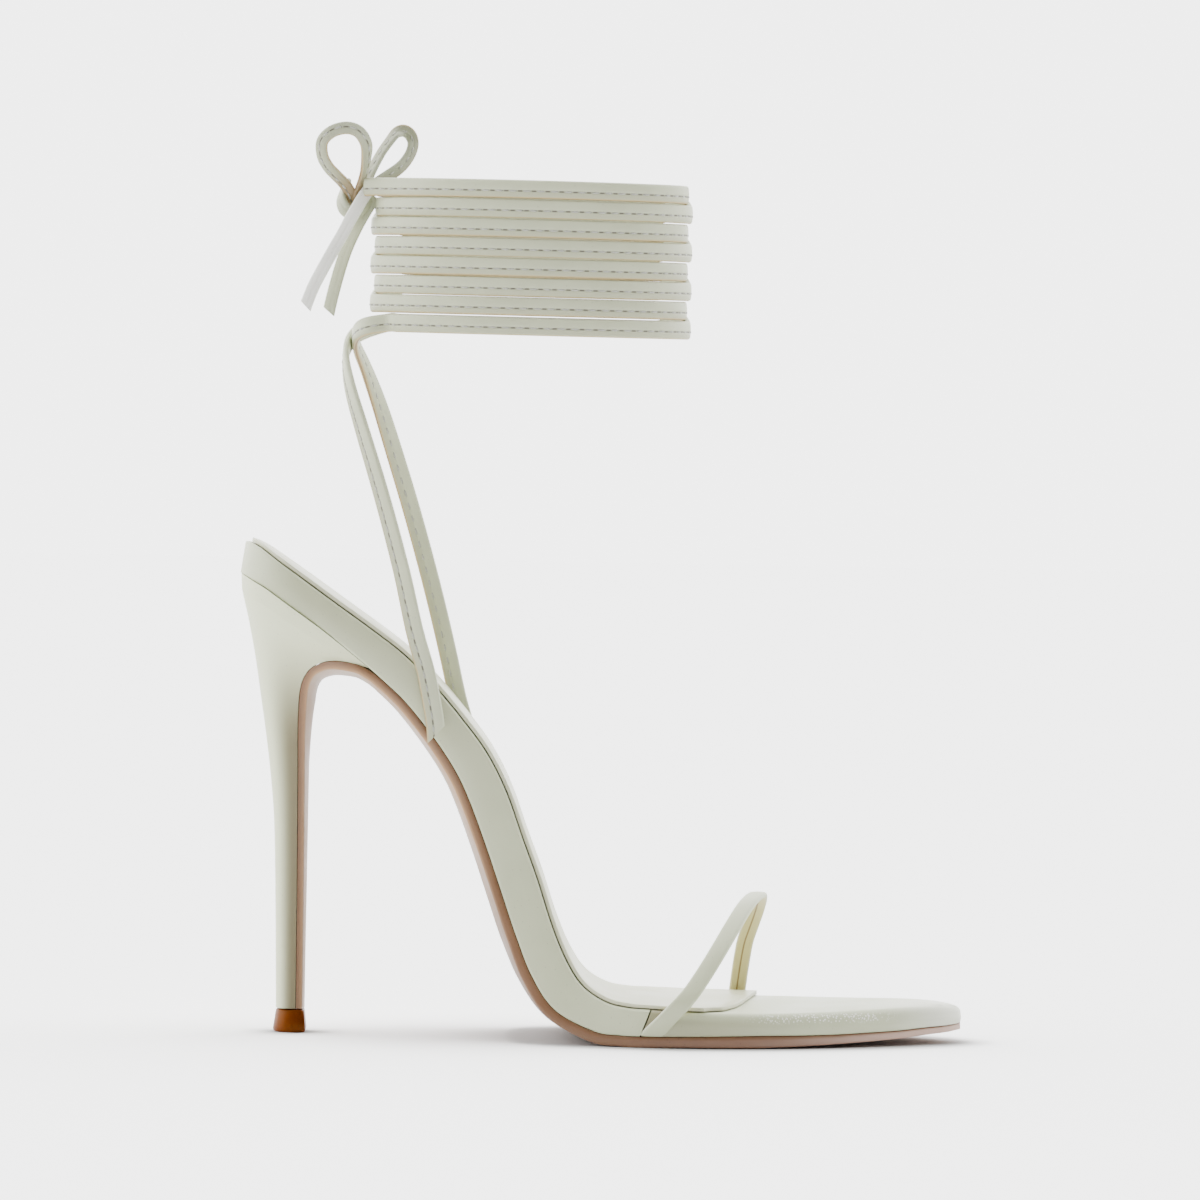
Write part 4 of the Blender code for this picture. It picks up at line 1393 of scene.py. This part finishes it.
class SANDAL_OT_stage(bpy.types.Operator):
    """Add the camera, the floor and the even sky"""

    bl_idname = "sandal.stage"
    bl_label = "Stage and camera"

    def execute(self, context):
        looks = context.scene.sandal
        data = bpy.data.cameras.new("camera")
        data.lens = CAMERA_LENS
        data.sensor_width = CAMERA_SENSOR
        data.clip_start = 0.05
        data.clip_end = 60.0
        camera = bpy.data.objects.new("camera", data)
        place = Vector(CAMERA_PLACE)
        turn = (Vector(CAMERA_AIM) - place).to_track_quat("-Z", "Y").to_matrix().to_4x4()
        roll = Matrix.Rotation(math.radians(CAMERA_ROLL), 4, "Z")
        camera.matrix_world = Matrix.Translation(place) @ turn @ roll
        context.scene.collection.objects.link(camera)
        context.scene.camera = camera

        work = bmesh.new()
        bmesh.ops.create_circle(work, cap_ends=True, segments=96, radius=FLOOR_RADIUS)
        mesh = bpy.data.meshes.new("floor")
        work.to_mesh(mesh)
        work.free()
        mesh.materials.append(floor_paint(looks))
        floor = bpy.data.objects.new("floor", mesh)
        context.scene.collection.objects.link(floor)
        context.scene.world = studio_world(looks)
        return {"FINISHED"}


class SANDAL_OT_bow(bpy.types.Operator):
    """Tie the bow behind the ankle: two loops, two ends and the turn that holds them"""

    bl_idname = "sandal.bow"
    bl_label = "Bow"

    def execute(self, context):
        looks = context.scene.sandal
        width = looks.bow_width / MM
        thick = looks.tie_thickness / MM * BOW_PRESS
        holes = hole_row(BOW_ROW, width, thick)
        # Painted shade: the loops, the second end and the knot's turn are darker copies of the tie
        # leather, for the shade they lie in.
        near, far, dim = [
            dimmed(looks.tie_colour, shade_share) for shade_share in (NEAR_LOOP_SHADE, FAR_LOOP_SHADE, END_2_SHADE)
        ]
        near = tie_leather("bow_leather", near, holes, fold=KNOT_SHADE)
        far = tie_leather("far_loop_leather", far, holes, fold=KNOT_SHADE)
        # Painted light: the first end's unstitched face is painted in the lightest colour, far
        # lighter than the ties, for the light on it.
        pale = end_leather("end_1_leather", looks.painted_light_colour)
        dull = end_leather("end_2_leather", dim)
        sewn = []
        for name, rows, finish, slant, far_end in (
            ("loop_near", LOOP_NEAR, near, 0.0, "knot"),
            ("loop_far", LOOP_FAR, far, 0.0, "knot"),
            ("end_1", END_1, pale, END_SLANT, "bare"),
            ("end_2", END_2, dull, END_SLANT, "bare"),
        ):
            piece, points, faces = strap_piece(
                name + "_strap", with_faces(rows), BOW_STEPS, (width, thick), finish, row=BOW_ROW,
                slants=(0.0, slant), nodes=(name,), slot="tie_leather",
            )
            if far_end == "knot":
                sewn.append((points, faces, thick / 2.0 - BOW_SINK))
        knot, *_ = strap_piece(
            "knot_turn", with_faces(KNOT_TURN), BOW_STEPS, (width * KNOT_SPREAD, thick), dull,
            row=BOW_ROW, nodes=("knot",), slot="tie_leather",
        )
        work = bmesh.new()
        place = Matrix.Translation(Vector(KNOT_CORE[:3]) * MM)
        shape = Matrix.Diagonal((*(size * MM for size in KNOT_CORE[3:]), 1.0))
        bmesh.ops.create_icosphere(work, subdivisions=4, radius=1.0, matrix=place @ shape)
        # Partly painted shade: the knot's inner turns are real, and they take the olive shade
        # colour for the shade of the loops over them.
        inner = end_leather("knot_core_leather", looks.shade_colour)
        core = put("knot_core", work, inner, nodes=("knot",), slot="tie_leather", sharp=180.0)
        threads = stitches("bow_stitches", sewn, BOW_ROW)
        return {"FINISHED"}


class SANDAL_OT_ties(bpy.types.Operator):
    """Wind the two stitched ties from the arch up and round the ankle"""

    bl_idname = "sandal.ties"
    bl_label = "Ankle ties"

    def execute(self, context):
        looks = context.scene.sandal
        width = looks.tie_width / MM
        thick = looks.tie_thickness / MM
        for label, riser, tail, side, low in (
            ("inner", INNER_RISER, (), 1.0, 0.5),
            ("outer", OUTER_RISER, OUTER_TIE_END, -1.0, 0.0),
        ):
            row = -side * looks.stitch_row / MM
            holes = hole_row(row, width, thick)
            _, points, faces = strap_piece(
                label + "_tie", with_faces(riser) + cuff_rows(side) + with_faces(tail), TIE_STEPS,
                (width, thick), tie_leather(label + "_tie_leather", looks.tie_colour, holes, low),
                row=row, slants=(TIE_SLANT * side, 0.0), nodes=("ankle_ties",), slot="tie_leather",
            )
            stitches(label + "_tie_stitches", [(points, faces, thick / 2.0 - TIE_SINK)], row)
        return {"FINISHED"}


class SANDAL_OT_board(bpy.types.Operator):
    """Cover the board: the rand from heel to ball and the pointed front"""

    bl_idname = "sandal.board"
    bl_label = "Rand and front cover"

    def execute(self, context):
        looks = context.scene.sandal
        rings = board_rings(0.0, COVER_START)
        put("covered_rand", skin(rings), rand_leather(looks), nodes=("rand",), slot="cream_leather")
        rings = board_rings(COVER_START + COVER_GAP, len(BOARD) - 1.0)
        put(
            "pointed_front", skin(rings), cover_leather(looks), nodes=("front_cover",),
            slot="cream_leather",
        )
        return {"FINISHED"}


class SANDAL_OT_sock(bpy.types.Operator):
    """Lay the lining leather under the foot"""

    bl_idname = "sandal.sock"
    bl_label = "Sock"

    def execute(self, context):
        finish = sock_lining(context.scene.sandal)
        back = places(SOCK_FIRST_RIB, SOCK_ROUND_END, 0.1)
        middle = places(SOCK_ROUND_END, rib_of_top_x(SOCK_FRONT[0][0]), BOARD_STEP)
        xs = places(SOCK_FRONT[0][0], SOCK_FRONT[-1][0], 0.7)
        front = [rib_of_top_x(x) for x in xs]
        rings = [sock_ring(place) for place in back + middle[1:] + front[1:]]
        put("sock_leather", skin(rings), finish, nodes=("sock",), slot="lining_leather")
        return {"FINISHED"}


class SANDAL_OT_sole(bpy.types.Operator):
    """Cut the sole and run it down the front of the heel"""

    bl_idname = "sandal.sole"
    bl_label = "Outsole"

    def execute(self, context):
        finish = sole_leather(context.scene.sandal)
        rows = sole_line()
        rings = [sole_ring(rows, place) for place in places(0.0, len(rows) - 1.0, BOARD_STEP)]
        put("sole_strip", skin(rings), finish, nodes=("outsole",), slot="tan_leather")
        return {"FINISHED"}


class SANDAL_OT_heel(bpy.types.Operator):
    """Shape the covered heel and its tip"""

    bl_idname = "sandal.heel"
    bl_label = "Heel and tip"

    def execute(self, context):
        looks = context.scene.sandal
        seat_back = BOARD[0][2] + 0.3

        def seat(part):
            return low_edge_at(seat_back + (SEAT_FRONT_X - seat_back) * part)

        rings = [heel_ring(SEAT_HALF, SEAT_FRONT_HALF, SEAT_SQUARENESS, seat)]
        for place in places(0.0, len(HEEL) - 1.0, BOARD_STEP):
            back_x, back_z, half, row = smooth_row(HEEL, place)
            front_x, front_z, front_half = smooth_row(BREAST, row)
            squareness = 2.0 + 0.6 * math.exp(-place / 2.0)
            line = side_line((back_x, back_z), (front_x, front_z))
            rings.append(heel_ring(half, front_half, squareness, line))
        put("covered_heel", skin(rings), heel_leather(looks), nodes=("heel",), slot="heel_leather")

        rings = []
        for back, front, half, z, draw_in in TIP:
            line = side_line((back + draw_in, z), (front - draw_in, z))
            rings.append(heel_ring(half - draw_in, half - 1.0 - draw_in, 2.0, line))
        put("heel_tip", skin(rings), amber_rubber(looks), nodes=("top_piece",), slot="amber_rubber")
        return {"FINISHED"}


class SANDAL_OT_toe_strap(bpy.types.Operator):
    """Arch the single strap over the toes"""

    bl_idname = "sandal.toe_strap"
    bl_label = "Toe strap"

    def execute(self, context):
        finish = toe_strap_leather(context.scene.sandal)
        steps = places(0.0, len(TOE_STRAP) - 1.0, 0.8)
        coarse = [Vector(smooth_row(TOE_STRAP, place)) for place in steps]
        last = len(coarse) - 1
        rows = []
        for i, point in enumerate(coarse):
            run = coarse[min(i + 1, last)] - coarse[max(i - 1, 0)]
            rows.append((*point, *run.cross(Vector((-1.0, 0.0, 0.0))).normalized()))
        strap_piece(
            "toe_band", rows, TOE_STRAP_STEPS, TOE_STRAP_SIZE, finish, slants=(FOOT_SLANT, 0.0),
            swell=strap_foot, nodes=("toe_strap",), slot="cream_leather",
        )
        return {"FINISHED"}


class SANDAL_PT_panel(bpy.types.Panel):
    """The sandal's settings and the buttons that build it."""

    bl_idname = "SANDAL_PT_panel"
    bl_label = "Lace up heeled sandal"
    bl_space_type = "VIEW_3D"
    bl_region_type = "UI"
    bl_category = "Sandal"

    def draw(self, context):
        looks = context.scene.sandal
        for label in SandalLooks.__annotations__:
            self.layout.prop(looks, label)
        for operator in OPERATORS:
            self.layout.operator(operator.bl_idname)


OPERATORS = (
    SANDAL_OT_stage,
    SANDAL_OT_bow,
    SANDAL_OT_ties,
    SANDAL_OT_board,
    SANDAL_OT_sock,
    SANDAL_OT_sole,
    SANDAL_OT_heel,
    SANDAL_OT_toe_strap,
)
CLASSES = (SandalLooks, *OPERATORS, SANDAL_PT_panel)


def register():
    """Add the settings, the operators and the panel."""
    for cls in CLASSES:
        bpy.utils.register_class(cls)
    bpy.types.Scene.sandal = bpy.props.PointerProperty(type=SandalLooks)


def unregister():
    """Take them away again."""
    del bpy.types.Scene.sandal
    for cls in reversed(CLASSES):
        bpy.utils.unregister_class(cls)


def main():
    """Build every piece."""
    register()
    bpy.ops.sandal.stage()
    bpy.ops.sandal.bow()
    bpy.ops.sandal.ties()
    bpy.ops.sandal.board()
    bpy.ops.sandal.sock()
    bpy.ops.sandal.sole()
    bpy.ops.sandal.heel()
    bpy.ops.sandal.toe_strap()
    bpy.context.view_layer.update()


if __name__ == "__main__":
    main()
